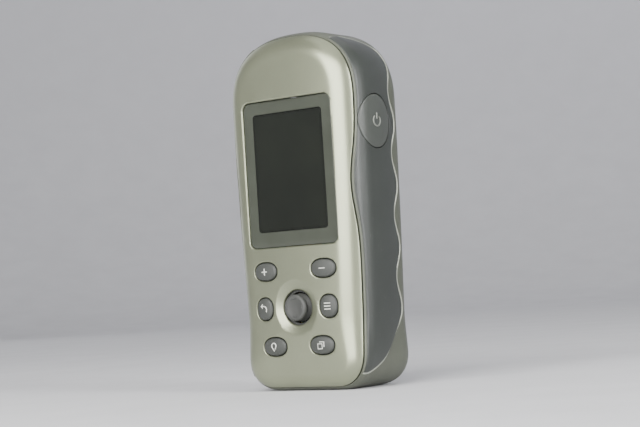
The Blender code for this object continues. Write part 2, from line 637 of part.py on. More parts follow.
# ---- battery door and its quarter-turn latch -------------------------------
door = plate("battery_door", rounded_rect(DOOR_W, DOOR_Z0, DOOR_Z1, 2.0), 13.5, 15.5, M_DOOR,
             origin=(0, HINGE_Y, HINGE_Z), bevel=0.25)
for sx in (-1, 1):
    join(door, box("door_tab", sx * 9 - 2.2, sx * 9 + 2.2, 12.35, 13.7, 80.0, 81.7, cutter=True),
         box("door_hook", sx * 9 - 2.2, sx * 9 + 2.2, 12.35, 13.2, 80.6, 84.2, cutter=True))
cut(door, cyl("ring_recess", "Y", (0, 16.4, LATCH_Z), 7.2, 4.0, segs=36, cutter=True),
    cyl("stud_hole", "Y", (0, 14.0, LATCH_Z), 1.95, 6.0, segs=20, cutter=True))
dseal = plate("door_seal", rounded_rect(15.75, BAY_Z0 - 0.9, BAY_Z1 + 0.9, 1.2), RIM_Y + 0.1, 13.35, M_SILICONE)
cut(dseal, plate("seal_inside", rounded_rect(15.15, BAY_Z0 - 0.1, BAY_Z1 + 0.1, 0.8), 10.0, 16.0, cutter=True))

stud = cyl("latch_stud", "Y", (0, 15.2, LATCH_Z), 2.9, 1.4, M_STEEL, segs=20, bevel=0.2,
           origin=(0, 13.5, LATCH_Z))
join(stud, cyl("stud_shaft", "Y", (0, 13.0, LATCH_Z), 1.6, 4.0, segs=20, cutter=True),
     box("stud_cam", -1.3, 1.3, 11.0, 12.2, LATCH_Z - 4.0, LATCH_Z + 4.0, cutter=True))
cut(stud, cyl("stud_bore", "X", (0, 15.75, LATCH_Z), 0.95, 12.0, segs=16, cutter=True),
    box("stud_slot", -6.0, 6.0, 15.75, 18.0, LATCH_Z - 0.95, LATCH_Z + 0.95, cutter=True))

ring_pts = [(-4.9 + 9.8 * k / 6.0, 15.75, LATCH_Z) for k in range(7)]
ring_pts += [(5.2 * math.cos(math.radians(a)), 15.75, LATCH_Z - 0.9 + 5.2 * math.sin(math.radians(a)))
             for a in range(-6, -180, -12)]
rtube = tube("latch_ring", ring_pts, 0.65, M_STEEL, cyclic=True)

# ---- cells, springs and contacts -------------------------------------------
def cell(name, x, z0, up):
    """An AA cell standing at z0; up is +1 when its raised terminal is on top."""
    prof = [(0.0, 0.0), (6.2, 0.0), (CELL_R - 0.1, 0.35), (CELL_R, 0.9), (CELL_R, 47.9),
            (CELL_R - 0.4, 48.8), (5.6, 49.0), (2.75, 49.1), (2.75, 50.3), (2.4, CELL_L), (0.0, CELL_L)]
    bm = bmesh.new()
    vs = [bm.verts.new((r * MM, 0.0, h * MM)) for r, h in reversed(prof)]
    for a, b in zip(vs, vs[1:]):
        bm.edges.new((a, b))
    me = bpy.data.meshes.new(name)
    bm.to_mesh(me)
    bm.free()
    ob = bpy.data.objects.new(name, me)
    PARTS.objects.link(ob)
    me.materials.append(M_CELL)
    s = ob.modifiers.new("turn", "SCREW")
    s.axis = "Z"
    s.steps = s.render_steps = 24
    s.use_merge_vertices = True
    s.merge_threshold = 0.00001
    ob.location = Vector((x, CELL_Y, z0 if up > 0 else z0 + CELL_L)) * MM
    if up < 0:
        ob.rotation_euler = (math.pi, 0.0, 0.0)
    return ob


cell("battery_left", -CELL_X, 26.0, 1)
cell("battery_right", CELL_X, 21.7, -1)


def coil(name, x, z0, z1, r0, r1, turns=3.0, per=12):
    pts = []
    n = int(turns * per)
    for k in range(n + 1):
        t = k / n
        a = 2 * math.pi * turns * t
        r = r0 + (r1 - r0) * t
        pts.append((x + r * math.cos(a), CELL_Y + r * math.sin(a), z0 + (z1 - z0) * t))
    return tube(name, pts, 0.3, M_SPRING, res=1)


coil("spring_left", -CELL_X, 21.7, 25.5, 4.6, 2.6)
coil("spring_right", CELL_X, 76.3, 72.6, 4.6, 2.6)
box("contact_bottom", -13.0, 13.0, 0.2, 11.2, BAY_Z0 + 0.2, BAY_Z0 + 0.7, M_TIN)
box("contact_top_left", -13.4, -1.6, 0.2, 11.2, BAY_Z1 - 0.7, BAY_Z1 - 0.2, M_TIN)
box("contact_top_right", 1.6, 13.4, 0.2, 11.2, BAY_Z1 - 0.7, BAY_Z1 - 0.2, M_TIN)

# ---- fasteners -------------------------------------------------------------
n_screw = 0
for z in SCREW_ZS:
    for sx in (-1, 1):
        n_screw += 1
        s = cyl("housing_screw_%d" % n_screw, "Y", (sx * SCREW_X, -0.15, z), 1.6, 1.2, M_STEEL, segs=16)
        join(s, cyl("screw_shank", "Y", (sx * SCREW_X, -5.2, z), 0.75, 10.0, segs=12, cutter=True))
        cut(s, box("screw_slot", sx * SCREW_X - 0.25, sx * SCREW_X + 0.25, 0.0, 2.0, z - 1.1, z + 1.1, cutter=True),
            box("screw_slot", sx * SCREW_X - 1.1, sx * SCREW_X + 1.1, 0.0, 2.0, z - 0.25, z + 0.25, cutter=True))
for i, sx in enumerate((-1, 1)):
    x = sx * 18.9
    s = cyl("board_screw_%d" % (i + 1), "Y", (x, -4.7, 60.0), 1.0, 1.0, M_STEEL, segs=14)
    join(s, cyl("screw_shank", "Y", (x, -6.5, 60.0), 0.5, 3.2, segs=10, cutter=True))
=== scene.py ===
import bpy
import bmesh
import math
import numpy as np
from mathutils import Vector, Matrix


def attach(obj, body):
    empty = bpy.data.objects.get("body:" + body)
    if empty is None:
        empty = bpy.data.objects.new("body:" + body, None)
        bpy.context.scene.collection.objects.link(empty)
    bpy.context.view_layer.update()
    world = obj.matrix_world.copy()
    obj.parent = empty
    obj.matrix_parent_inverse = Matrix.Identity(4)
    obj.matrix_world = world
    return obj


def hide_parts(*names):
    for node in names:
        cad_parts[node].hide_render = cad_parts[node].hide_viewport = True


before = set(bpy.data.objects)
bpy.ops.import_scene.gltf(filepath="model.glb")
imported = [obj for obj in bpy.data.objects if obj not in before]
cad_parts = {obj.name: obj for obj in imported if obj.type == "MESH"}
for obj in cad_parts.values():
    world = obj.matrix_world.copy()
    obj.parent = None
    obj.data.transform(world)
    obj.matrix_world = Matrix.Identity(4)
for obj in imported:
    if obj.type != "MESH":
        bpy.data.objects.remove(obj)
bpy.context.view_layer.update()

MM = 0.001
R = math.radians

# ============================================================ body surface ==
HEIGHT, HALF_W, HALF_D = 117.0, 26.5, 15.5
EDGE_R, EDGE_R_BOTTOM = 9.0, 6.0
TOP_SPRING, TOP_EXP = 93.0, 2.5
BOTTOM_FLAT, BOTTOM_X, BOTTOM_Z, SIDE_BELLY = 13.0, 24.5, 12.0, 1.6
REAR_T, FRONT_T = 2.6, 1.8
BTN_Y, BTN_Z, BTN_A, BTN_B = -3.1, 85.4, 7.5, 8.7
STICK_Z, STICK_Y = 27.0, -9.4
NRING = 280


def half_outline(u):
    if u <= 0.0:
        return (BOTTOM_FLAT * (u + 1.0), 0.0)
    if u <= 1.0:
        t = R(90.0 * (1.0 - u))
        e = 2.0 / 2.2
        return (BOTTOM_FLAT + (BOTTOM_X - BOTTOM_FLAT) * math.cos(t) ** e,
                BOTTOM_Z - BOTTOM_Z * math.sin(t) ** e)
    if u <= 2.0:
        z = BOTTOM_Z + (TOP_SPRING - BOTTOM_Z) * (u - 1.0)
        f = (TOP_SPRING - z) / (TOP_SPRING - BOTTOM_Z)
        return (HALF_W - (HALF_W - BOTTOM_X) * f ** SIDE_BELLY, z)
    t = R(90.0 * (u - 2.0))
    e = 2.0 / TOP_EXP
    return (HALF_W * max(math.cos(t), 0.0) ** e,
            TOP_SPRING + (HEIGHT - TOP_SPRING) * math.sin(t) ** e)


def make_outline():
    """The front view as NRING evenly spaced points from the bottom centre,
    eased over about a millimetre so that no join in it shows, with normals."""
    us = np.concatenate([np.linspace(-1, 0, 200), np.linspace(0, 1, 600)[1:],
                         np.linspace(1, 2, 700)[1:], np.linspace(2, 3, 1200)[1:]])
    h = np.array([half_outline(u) for u in us])
    full = np.vstack([h, (h * [-1, 1])[::-1][1:-1]])
    closed = np.vstack([full, full[:1]])
    seg = np.hypot(*np.diff(closed, axis=0).T)
    s = np.concatenate([[0], np.cumsum(seg)])
    m = 2800
    t = np.linspace(0, s[-1], m, endpoint=False)
    p = np.column_stack([np.interp(t, s, closed[:, k]) for k in (0, 1)])
    sig = 1.1 / (s[-1] / m)
    k = np.arange(-60, 61)
    w = np.exp(-0.5 * (k / sig) ** 2)
    w /= w.sum()
    sm = np.zeros_like(p)
    for kk, ww in zip(k, w):
        sm += ww * np.roll(p, -kk, axis=0)
    sm[:, 1] = np.where(p[:, 1] <= 0.0, 0.0, sm[:, 1])
    sm = 0.5 * (sm + np.roll((sm * [-1, 1])[::-1], 1, axis=0))
    d = np.roll(sm, -8, axis=0) - np.roll(sm, 8, axis=0)
    n = np.column_stack([d[:, 1], -d[:, 0]]) / np.hypot(d[:, 0], d[:, 1])[:, None]
    step = m // NRING
    return sm[::step], n[::step], sm, n


P2, N2, P2F, N2F = make_outline()
Z1 = P2[:, 1]


def edge_radius(z):
    t = np.clip((np.asarray(z) - 3.0) / 22.0, 0.0, 1.0)
    t = t * t * (3 - 2 * t)
    return EDGE_R_BOTTOM + (EDGE_R - EDGE_R_BOTTOM) * t


def parting(z):
    z = np.asarray(z, dtype=float)
    return 1.0 - (36.0 + 16.0 * np.exp(-((z - 66.0) / 13.0) ** 2)) / 90.0


def grip_rear_y(z):
    return 6.6 + 1.4 * np.cos(2 * np.pi * (np.asarray(z) - 85.0) / 20.0)


FRONT_TILT, REAR_TILT = 5.0, 2.5      # how far short of flat the edge rolls stop
H_FRONT, H_REAR = 0.75, 0.35          # crown of the front and rear faces


def section(v, z, off=0.0, front=True):
    """Inset from the outline, depth in Y, and the normal's two parts."""
    v = np.asarray(v, dtype=float) * np.ones_like(z)
    r = edge_radius(z)
    flat = HALF_D - r
    lo, hi = R(90.0 - FRONT_TILT), R(90.0 - REAR_TILT)
    a = lo * (1.0 - v)
    b = hi * (v - 2.0)
    d = np.where(v <= 1, r * (1 - np.cos(a)), np.where(v <= 2, 0.0, r * (1 - np.cos(b))))
    y = np.where(v <= 1, -flat - r * np.sin(a),
                 np.where(v <= 2, -flat + 2 * flat * (v - 1.0), flat + r * np.sin(b)))
    co = np.where(v <= 1, np.cos(a), np.where(v <= 2, 1.0, np.cos(b)))
    so = np.where(v <= 1, -np.sin(a), np.where(v <= 2, 0.0, np.sin(b)))
    return d - off * co, y + off * so, co, so


def ring(v, off=0.0, idx=None, p=None, n=None):
    """Points round the body at v (0 front roll's start .. 3 rear roll's end)."""
    p = P2 if p is None else p
    n = N2 if n is None else n
    if idx is not None:
        p, n = p[idx], n[idx]
    z = p[:, 1]
    d, y, _, _ = section(v(z) if callable(v) else v, z, off)
    q = p - n * d[:, None]
    return np.column_stack([q[:, 0], y, q[:, 1]])


def face_rings(which, count, off=0.0):
    """Loops that close a face from the roll's start to its middle line, with
    a gentle crown that carries on the roll's slope."""
    base = ring(0.0 if which == "front" else 3.0, off)
    mid = base.copy()
    mid[:, 0] = 0.0
    mid[:, 2] = np.clip(base[:, 2], 27.0, 89.0)
    sgn, h = (-1.0, H_FRONT) if which == "front" else (1.0, H_REAR)
    out = []
    for k in range(1, count + 1):
        t = k / count
        q = base * (1 - t) + mid * t
        q[:, 1] = base[:, 1] + sgn * h * (1 - (1 - t) ** 2)
        out.append(q)
    return out


def face_y(x, z, which="front"):
    """Depth of the crowned face over a point inside the roll."""
    sgn, h = (-1.0, H_FRONT) if which == "front" else (1.0, H_REAR)
    base = ring(0.0 if which == "front" else 3.0)
    zc = min(max(z, 27.0), 89.0)
    dx, dz = x, z - zc
    best, ybest = 1e9, 0.0
    # distance share from the middle line to the loop, along the same ray
    mid = np.column_stack([np.zeros(len(base)), np.clip(base[:, 2], 27.0, 89.0)])
    vx, vz = base[:, 0] - mid[:, 0], base[:, 2] - mid[:, 1]
    px, pz = x - mid[:, 0], z - mid[:, 1]
    ln = vx * vx + vz * vz
    s = np.clip((px * vx + pz * vz) / ln, 0, 1)
    e = np.hypot(px - s * vx, pz - s * vz)
    i = int(np.argmin(e))
    t = 1 - s[i]
    return float(base[i, 1] + sgn * h * (1 - (1 - t) ** 2))


FY_GRID = {}


def face_y_fast(which):
    """A smooth table of face_y, read back by bilinear interpolation."""
    if which not in FY_GRID:
        xs, zs = np.linspace(-20, 20, 41), np.linspace(3, 112, 110)
        g = np.array([[face_y(x, z, which) for z in zs] for x in xs])
        FY_GRID[which] = (xs, zs, g)
    xs, zs, g = FY_GRID[which]

    def f(x, z):
        fx = min(max((x - xs[0]) / (xs[1] - xs[0]), 0), len(xs) - 1.001)
        fz = min(max((z - zs[0]) / (zs[1] - zs[0]), 0), len(zs) - 1.001)
        i, j = int(fx), int(fz)
        a, b = fx - i, fz - j
        return float(g[i, j] * (1 - a) * (1 - b) + g[i + 1, j] * a * (1 - b)
                     + g[i, j + 1] * (1 - a) * b + g[i + 1, j + 1] * a * b)
    return f


def belly(y):
    """How far the rubber of a grip swells past the plain side."""
    return 0.75 * max(0.0, 1.0 - ((y + 1.6) / 8.2) ** 2)


def side_x(y, z):
    """X of the +X side of the grip's rubber at a depth and height."""
    half = P2F[: len(P2F) // 2]
    x0 = np.interp(z, half[:, 1], half[:, 0])
    r = float(edge_radius(z))
    flat = HALF_D - r
    k = max(abs(y) - flat, 0.0)
    return float(x0 - r * (1 - math.sqrt(max(1 - (k / r) ** 2, 0.0)))) + belly(y)


# ============================================================ mesh helpers ==
WORK = bpy.data.collections.new("gps_unit_visual")
bpy.context.scene.collection.children.link(WORK)


def to_object(bm, name, mat=None, smooth=40.0, link=True):
    bmesh.ops.recalc_face_normals(bm, faces=bm.faces)
    if bm.calc_volume(signed=True) < 0:
        bmesh.ops.reverse_faces(bm, faces=bm.faces)
    for v in bm.verts:
        v.co *= MM
    me = bpy.data.meshes.new(name)
    bm.to_mesh(me)
    bm.free()
    if smooth:
        me.shade_smooth()
        me.set_sharp_from_angle(angle=R(smooth))
    ob = bpy.data.objects.new(name, me)
    WORK.objects.link(ob)
    if mat:
        me.materials.append(mat)
    return ob


def loft_bm(rings, cap0=True, cap1=True, merge=0.0, closed=True, bm=None):
    bm = bm or bmesh.new()
    vr = [[bm.verts.new((float(p[0]), float(p[1]), float(p[2]))) for p in r] for r in rings]
    n = len(vr[0])
    for a, b in zip(vr, vr[1:]):
        for i in range(n if closed else n - 1):
            j = (i + 1) % n
            bm.faces.new((a[i], a[j], b[j], b[i]))
    if cap0:
        bm.faces.new(vr[0])
    if cap1:
        bm.faces.new(vr[-1][::-1])
    if merge:
        bmesh.ops.remove_doubles(bm, verts=bm.verts, dist=merge)
    return bm


def loft(name, rings, mat=None, cap0=True, cap1=True, merge=0.0, smooth=40.0):
    return to_object(loft_bm(rings, cap0, cap1, merge), name, mat, smooth)


def rrect(hx, z0, z1, r, n=8, cx=0.0):
    pts = []
    for qx, qz, a0 in ((cx + hx - r, z0 + r, -90), (cx + hx - r, z1 - r, 0),
                       (cx - hx + r, z1 - r, 90), (cx - hx + r, z0 + r, 180)):
        for k in range(n + 1):
            a = R(a0 + 90.0 * k / n)
            pts.append((qx + r * math.cos(a), qz + r * math.sin(a)))
    return np.array(pts)


def densify(pts, step=1.2):
    out = []
    n = len(pts)
    for i in range(n):
        a, b = pts[i], pts[(i + 1) % n]
        d = np.hypot(*(b - a))
        k = max(1, int(math.ceil(d / step)))
        for j in range(k):
            out.append(a + (b - a) * j / k)
    return np.array(out)


def ellipse(cx, cz, a, b, n=48, e=2.0):
    t = np.linspace(0, 2 * np.pi, n, endpoint=False)
    c, s = np.cos(t), np.sin(t)
    return np.column_stack([cx + a * np.sign(c) * np.abs(c) ** (2 / e),
                            cz + b * np.sign(s) * np.abs(s) ** (2 / e)])


def offset2(pts, e):
    """Moves a closed outline out by e along its normals."""
    d = np.roll(pts, -1, axis=0) - np.roll(pts, 1, axis=0)
    n = np.column_stack([d[:, 1], -d[:, 0]]) / np.maximum(np.hypot(d[:, 0], d[:, 1]), 1e-9)[:, None]
    c = pts.mean(axis=0)
    if ((pts - c) * n).sum() < 0:
        n = -n
    return pts + n * e


def flared_cutter(name, pts, yfun, deep, r, sgn, over=2.5):
    """A cutter whose mouth flares by a quarter round of radius r, so that the
    opening gets a rounded lip. sgn is -1 for the front face, +1 for the rear."""
    rings = [[(x, deep, z) for x, z in pts]]
    for k in range(0, 7):
        a = R(80.0 * k / 6)
        e = r * (1 - math.cos(a))
        q = offset2(pts, e)
        rings.append([(x, yfun(x0, z0) - sgn * r * (1 - math.sin(a)), z)
                      for (x, z), (x0, z0) in zip(q, pts)])
    q = offset2(pts, r * (1 - math.cos(R(80))) + 0.25)
    rings.append([(x, yfun(x0, z0) + sgn * 0.12, z) for (x, z), (x0, z0) in zip(q, pts)])
    rings.append([(x, yfun(x0, z0) + sgn * over, z) for (x, z), (x0, z0) in zip(q, pts)])
    return loft(name, rings)


def apply_bool(ob, tools, op="DIFFERENCE"):
    """One exact Boolean with all tools joined; the tools are then removed."""
    bm = bmesh.new()
    for t in tools:
        bm.from_mesh(t.data)
    me = bpy.data.meshes.new("tool")
    bm.to_mesh(me)
    bm.free()
    tool = bpy.data.objects.new("tool", me)
    WORK.objects.link(tool)
    m = ob.modifiers.new("b", "BOOLEAN")
    m.operation, m.solver, m.object = op, "EXACT", tool
    m.use_self = False
    dg = bpy.context.evaluated_depsgraph_get()
    new = bpy.data.meshes.new_from_object(ob.evaluated_get(dg))
    ob.modifiers.clear()
    mats = list(ob.data.materials)
    ob.data = new
    bm = bmesh.new()
    bm.from_mesh(new)
    bmesh.ops.dissolve_degenerate(bm, dist=3e-6, edges=bm.edges)
    bm.to_mesh(new)
    bm.free()
    new.materials.clear()
    for mm in mats:
        new.materials.append(mm)
    for t in tools + [tool]:
        bpy.data.objects.remove(t, do_unlink=True)
    return ob


def join_meshes(ob, others):
    bm = bmesh.new()
    bm.from_mesh(ob.data)
    for o in others:
        bm.from_mesh(o.data)
    bm.to_mesh(ob.data)
    bm.free()
    for o in others:
        bpy.data.objects.remove(o, do_unlink=True)
    return ob


def resharpen(ob, deg=40.0, weighted=True):
    ob.data.shade_smooth()
    ob.data.set_sharp_from_angle(angle=R(deg))
    if weighted:
        m = ob.modifiers.new("wn", "WEIGHTED_NORMAL")
        m.keep_sharp = True
        m.weight = 60


def pad(name, pts, yfun, back, r, sgn, mat, inner=10, dome=0.0, steps=6, smooth=40.0):
    """A plate with a rounded rim: outline pts in X and Z, outer face on yfun,
    back face flat at back. dome lifts its middle."""
    c = pts.mean(axis=0)
    rings = [[(x, back, z) for x, z in c + (pts - c) * 0.02],
             [(x, back, z) for x, z in pts]]
    for k in range(0, steps + 1):
        a = R(90.0 * k / steps)
        q = offset2(pts, -r * (1 - math.cos(a)))
        rings.append([(x, yfun(x, z) - sgn * r * (1 - math.sin(a)), z) for x, z in q])
    q0 = offset2(pts, -r)
    for k in range(1, inner + 1):
        t = k / inner
        q = q0 + (c - q0) * t
        rings.append([(x, yfun(x, z) + sgn * dome * (1 - (1 - t) ** 2), z) for x, z in q])
    return loft(name, rings, mat, cap0=True, cap1=False, merge=1e-4, smooth=smooth)


def tube_bm(bm, pts, r, n=10, closed=False, flat=1.0, up=None):
    """A tube along points. flat < 1 squashes it along up."""
    pts = [Vector(p) for p in pts]
    m = len(pts)
    rings = []
    prev = None
    for i, p in enumerate(pts):
        a = pts[(i - 1) % m] if (closed or i > 0) else p
        b = pts[(i + 1) % m] if (closed or i < m - 1) else p
        t = (b - a).normalized()
        if up is not None:
            w = Vector(up[i] if isinstance(up, (list, np.ndarray)) else up)
            nrm = (w - t * w.dot(t)).normalized()
        else:
            ref = prev if prev is not None else (Vector((0, 0, 1)) if abs(t.z) < 0.9 else Vector((1, 0, 0)))
            nrm = (ref - t * ref.dot(t)).normalized()
        prev = nrm
        bi = t.cross(nrm)
        rr = r[i] if isinstance(r, (list, np.ndarray)) else r
        rings.append([p + nrm * (math.cos(2 * math.pi * k / n) * rr * flat)
                      + bi * (math.sin(2 * math.pi * k / n) * rr) for k in range(n)])
    vr = [[bm.verts.new(q) for q in g] for g in rings]
    for i in range(m if closed else m - 1):
        a, b = vr[i], vr[(i + 1) % m]
        for k in range(n):
            j = (k + 1) % n
            bm.faces.new((a[k], a[j], b[j], b[k]))
    if not closed:
        bm.faces.new(vr[0][::-1])
        bm.faces.new(vr[-1])
    return bm


def lathe_y(name, prof, cx, cz, mat=None, n=48, smooth=35.0):
    """A closed profile of (radius, y) turned about Y through (cx, cz)."""
    bm = bmesh.new()
    cols = []
    for k in range(n):
        a = 2 * math.pi * k / n
        cols.append([bm.verts.new((cx + r * math.cos(a), y, cz + r * math.sin(a))) for r, y in prof])
    m = len(prof)
    for k in range(n):
        a, b = cols[k], cols[(k + 1) % n]
        for i in range(m - 1):
            bm.faces.new((a[i], a[i + 1], b[i + 1], b[i]))
    bmesh.ops.remove_doubles(bm, verts=bm.verts, dist=1e-5)
    return to_object(bm, name, mat, smooth)


def box_bm(bm, x0, x1, y0, y1, z0, z1):
    g = bmesh.ops.create_cube(bm, size=1.0)
    for v in g["verts"]:
        v.co = Vector((x0 + (v.co.x + 0.5) * (x1 - x0), y0 + (v.co.y + 0.5) * (y1 - y0),
                       z0 + (v.co.z + 0.5) * (z1 - z0)))


def solid_box(name, dims, bevel=0.25, segs=3, mat=None):
    bm = bmesh.new()
    box_bm(bm, *dims)
    if bevel:
        bmesh.ops.bevel(bm, geom=list(bm.edges), offset=bevel, segments=segs, profile=0.6, affect="EDGES")
    return to_object(bm, name, mat, 35.0)


# ================================================================ materials ==
class Nodes:
    """Small helper for wiring a node tree."""

    def __init__(self, mat):
        mat.use_nodes = True
        self.t = mat.node_tree
        self.bsdf = self.t.nodes["Principled BSDF"]
        self.co = self.t.nodes.new("ShaderNodeTexCoord").outputs["Object"]

    def noise(self, scale, detail=3.0, rough=0.55, vec=None):
        n = self.t.nodes.new("ShaderNodeTexNoise")
        n.inputs["Scale"].default_value = scale
        n.inputs["Detail"].default_value = detail
        n.inputs["Roughness"].default_value = rough
        self.t.links.new(vec or self.co, n.inputs["Vector"])
        return n.outputs["Fac"]

    def voronoi(self, scale, feature="F1", vec=None):
        n = self.t.nodes.new("ShaderNodeTexVoronoi")
        n.feature = feature
        n.inputs["Scale"].default_value = scale
        self.t.links.new(vec or self.co, n.inputs["Vector"])
        return n.outputs["Distance"]

    def mapping(self, scale):
        n = self.t.nodes.new("ShaderNodeMapping")
        n.inputs["Scale"].default_value = scale
        self.t.links.new(self.co, n.inputs["Vector"])
        return n.outputs["Vector"]

    def xyz(self):
        n = self.t.nodes.new("ShaderNodeSeparateXYZ")
        self.t.links.new(self.co, n.inputs[0])
        return n.outputs

    def math(self, op, a, b=None, c=None, clamp=False):
        n = self.t.nodes.new("ShaderNodeMath")
        n.operation = op
        n.use_clamp = clamp
        for i, s in enumerate((a, b, c)):
            if s is None:
                continue
            if isinstance(s, (int, float)):
                n.inputs[i].default_value = s
            else:
                self.t.links.new(s, n.inputs[i])
        return n.outputs[0]

    def ramp(self, fac, stops):
        n = self.t.nodes.new("ShaderNodeValToRGB")
        el = n.color_ramp.elements
        while len(el) < len(stops):
            el.new(0.5)
        for e, (p, c) in zip(el, stops):
            e.position = p
            e.color = (*c, 1.0) if len(c) == 3 else c
        self.t.links.new(fac, n.inputs[0])
        return n.outputs[0]

    def maprange(self, fac, a, b, lo, hi):
        n = self.t.nodes.new("ShaderNodeMapRange")
        n.inputs[1].default_value, n.inputs[2].default_value = a, b
        n.inputs[3].default_value, n.inputs[4].default_value = lo, hi
        self.t.links.new(fac, n.inputs[0])
        return n.outputs[0]

    def mix(self, fac, a, b, kind="MIX"):
        n = self.t.nodes.new("ShaderNodeMix")
        n.data_type = "RGBA"
        n.blend_type = kind
        for i, s in ((0, fac), (6, a), (7, b)):
            if isinstance(s, (int, float)):
                n.inputs[i].default_value = s
            elif isinstance(s, tuple):
                n.inputs[i].default_value = (*s, 1.0)
            else:
                self.t.links.new(s, n.inputs[i])
        return n.outputs[2]

    def bump(self, height, strength, dist, normal=None):
        n = self.t.nodes.new("ShaderNodeBump")
        n.inputs["Strength"].default_value = strength
        n.inputs["Distance"].default_value = dist
        self.t.links.new(height, n.inputs["Height"])
        if normal is not None:
            self.t.links.new(normal, n.inputs["Normal"])
        return n.outputs[0]

    def to(self, socket, value):
        if isinstance(value, (int, float)):
            self.bsdf.inputs[socket].default_value = value
        elif isinstance(value, tuple):
            self.bsdf.inputs[socket].default_value = (*value, 1.0)
        else:
            self.t.links.new(value, self.bsdf.inputs[socket])


def lin(r, g, b):
    """sRGB 0-255 to linear."""
    def f(c):
        c /= 255.0
        return c / 12.92 if c <= 0.04045 else ((c + 0.055) / 1.055) ** 2.4
    return (f(r), f(g), f(b))


def scaled(c, k):
    return tuple(min(x * k, 1.0) for x in c)


def plastic(name, col, rough=0.45, metal=0.0, vary=0.10, grain=2600.0, bump=0.02,
            blotch=70.0, coat=0.0, spec=0.5, flake=0.0, rub=0.06, fleck=0.14):
    """Moulded plastic or paint: tone that drifts slowly, a fine grain, patchy
    gloss from handling, and optional metallic flake."""
    m = bpy.data.materials.new(name)
    k = Nodes(m)
    slow = k.noise(blotch, 3.0)
    fine = k.noise(grain, 2.0)
    c = k.ramp(slow, [(0.30, scaled(col, 1 - vary)), (0.70, scaled(col, 1 + vary))])
    c = k.mix(k.maprange(fine, 0.35, 0.65, 0.0, fleck), c, scaled(col, 0.80))
    if flake:
        fl = k.noise(1500.0, 1.0)
        c = k.mix(k.maprange(fl, 0.52, 0.70, 0.0, flake), c, scaled(col, 1.3))
    k.to("Base Color", c)
    k.to("Roughness", rough if metal > 0.5 else k.maprange(k.noise(190.0, 0.0), 0.30, 0.72, rough - rub, rough + rub))
    k.to("Metallic", metal)
    k.to("Specular IOR Level", spec)
    if coat:
        k.to("Coat Weight", coat)
        k.to("Coat Roughness", 0.12)
    skin = k.noise(grain * 0.35, 2.0)
    k.to("Normal", k.bump(skin, bump * 10, 0.00005))
    return m


def rubber(name, col, rough=0.72, dimple=1500.0, vary=0.12, dust=0.10, sheen=0.0):
    """Moulded rubber: spark-eroded texture and faint dust in it."""
    m = bpy.data.materials.new(name)
    k = Nodes(m)
    slow = k.noise(55.0, 4.0)
    c = k.ramp(slow, [(0.30, scaled(col, 1 - vary)), (0.72, scaled(col, 1 + vary))])
    cell = k.voronoi(dimple)
    speck = k.noise(900.0, 4.0, 0.7)
    c = k.mix(k.maprange(speck, 0.60, 0.80, 0.0, dust), c, (0.30, 0.29, 0.26))
    k.to("Base Color", c)
    k.to("Roughness", rough)
    k.to("Specular IOR Level", 0.45)
    if sheen:
        k.to("Sheen Weight", sheen)
        k.to("Sheen Roughness", 0.45)
    k.to("Normal", k.bump(cell, 0.14, 0.00005))
    return m


def metal(name, col, rough=0.3, brush=None, vary=0.08, spots=0.0):
    """Bare metal; brush is a stretch of the grain along X, Y or Z."""
    m = bpy.data.materials.new(name)
    k = Nodes(m)
    slow = k.noise(160.0, 4.0)
    c = k.ramp(slow, [(0.3, scaled(col, 1 - vary)), (0.7, scaled(col, 1 + vary))])
    if spots:
        s = k.noise(620.0, 5.0, 0.7)
        c = k.mix(k.maprange(s, 0.62, 0.75, 0.0, spots), c, scaled(col, 0.45))
    k.to("Base Color", c)
    k.to("Metallic", 1.0)
    sc = {"X": (60, 2600, 2600), "Y": (2600, 60, 2600), "Z": (2600, 2600, 60), None: (1500, 1500, 1500)}[brush]
    g = k.noise(1.0, 3.0, 0.6, k.mapping(sc))
    k.to("Roughness", k.maprange(g, 0.3, 0.7, rough - 0.07, rough + 0.10))
    k.to("Normal", k.bump(g, 0.12, 0.00003))
    return m


def display_material():
    """The window: clear hard coat over a printed border and a dark panel, the panel darkened along the border's edge
    as painted shade.
    """
    m = bpy.data.materials.new("display_window")
    k = Nodes(m)
    x, y, z = k.xyz()
    cx, cz, hx, hz, rr = 0.0, 0.0715, 0.0142, 0.0195, 0.0012
    qx = k.math("SUBTRACT", k.math("ABSOLUTE", x), hx - rr)
    qz = k.math("SUBTRACT", k.math("ABSOLUTE", k.math("SUBTRACT", z, cz)), hz - rr)
    ox = k.math("MAXIMUM", qx, 0.0)
    oz = k.math("MAXIMUM", qz, 0.0)
    d = k.math("SUBTRACT", k.math("SQRT", k.math("ADD", k.math("MULTIPLY", ox, ox), k.math("MULTIPLY", oz, oz))), rr)
    d = k.math("ADD", d, k.math("MINIMUM", k.math("MAXIMUM", qx, qz), 0.0))
    edge = k.maprange(d, -0.00012, 0.00012, 0.0, 1.0)
    # painted shade: the panel darkens to near black along the border's edge, where the mask would shade it
    shade = k.maprange(d, -0.0012, -0.0001, 1.0, 0.55)
    border = k.ramp(k.noise(60.0, 3.0), [(0.3, lin(56, 59, 52)), (0.7, lin(64, 67, 60))])
    panel = k.ramp(k.noise(45.0, 2.0), [(0.3, lin(26, 28, 25)), (0.7, lin(31, 33, 29))])
    rows = k.noise(1.0, 1.0, 0.5, k.mapping((50, 50, 5200)))
    panel = k.mix(k.maprange(rows, 0.4, 0.6, 0.0, 0.12), panel, lin(30, 32, 29))
    panel = k.mix(k.math("SUBTRACT", 1.0, shade), panel, (0.004, 0.004, 0.004))
    k.to("Base Color", k.mix(edge, panel, border))
    smudge = k.noise(120.0, 5.0, 0.68)
    k.to("Roughness", k.maprange(smudge, 0.45, 0.80, 0.09, 0.19))
    k.to("Specular IOR Level", 0.30)
    return m


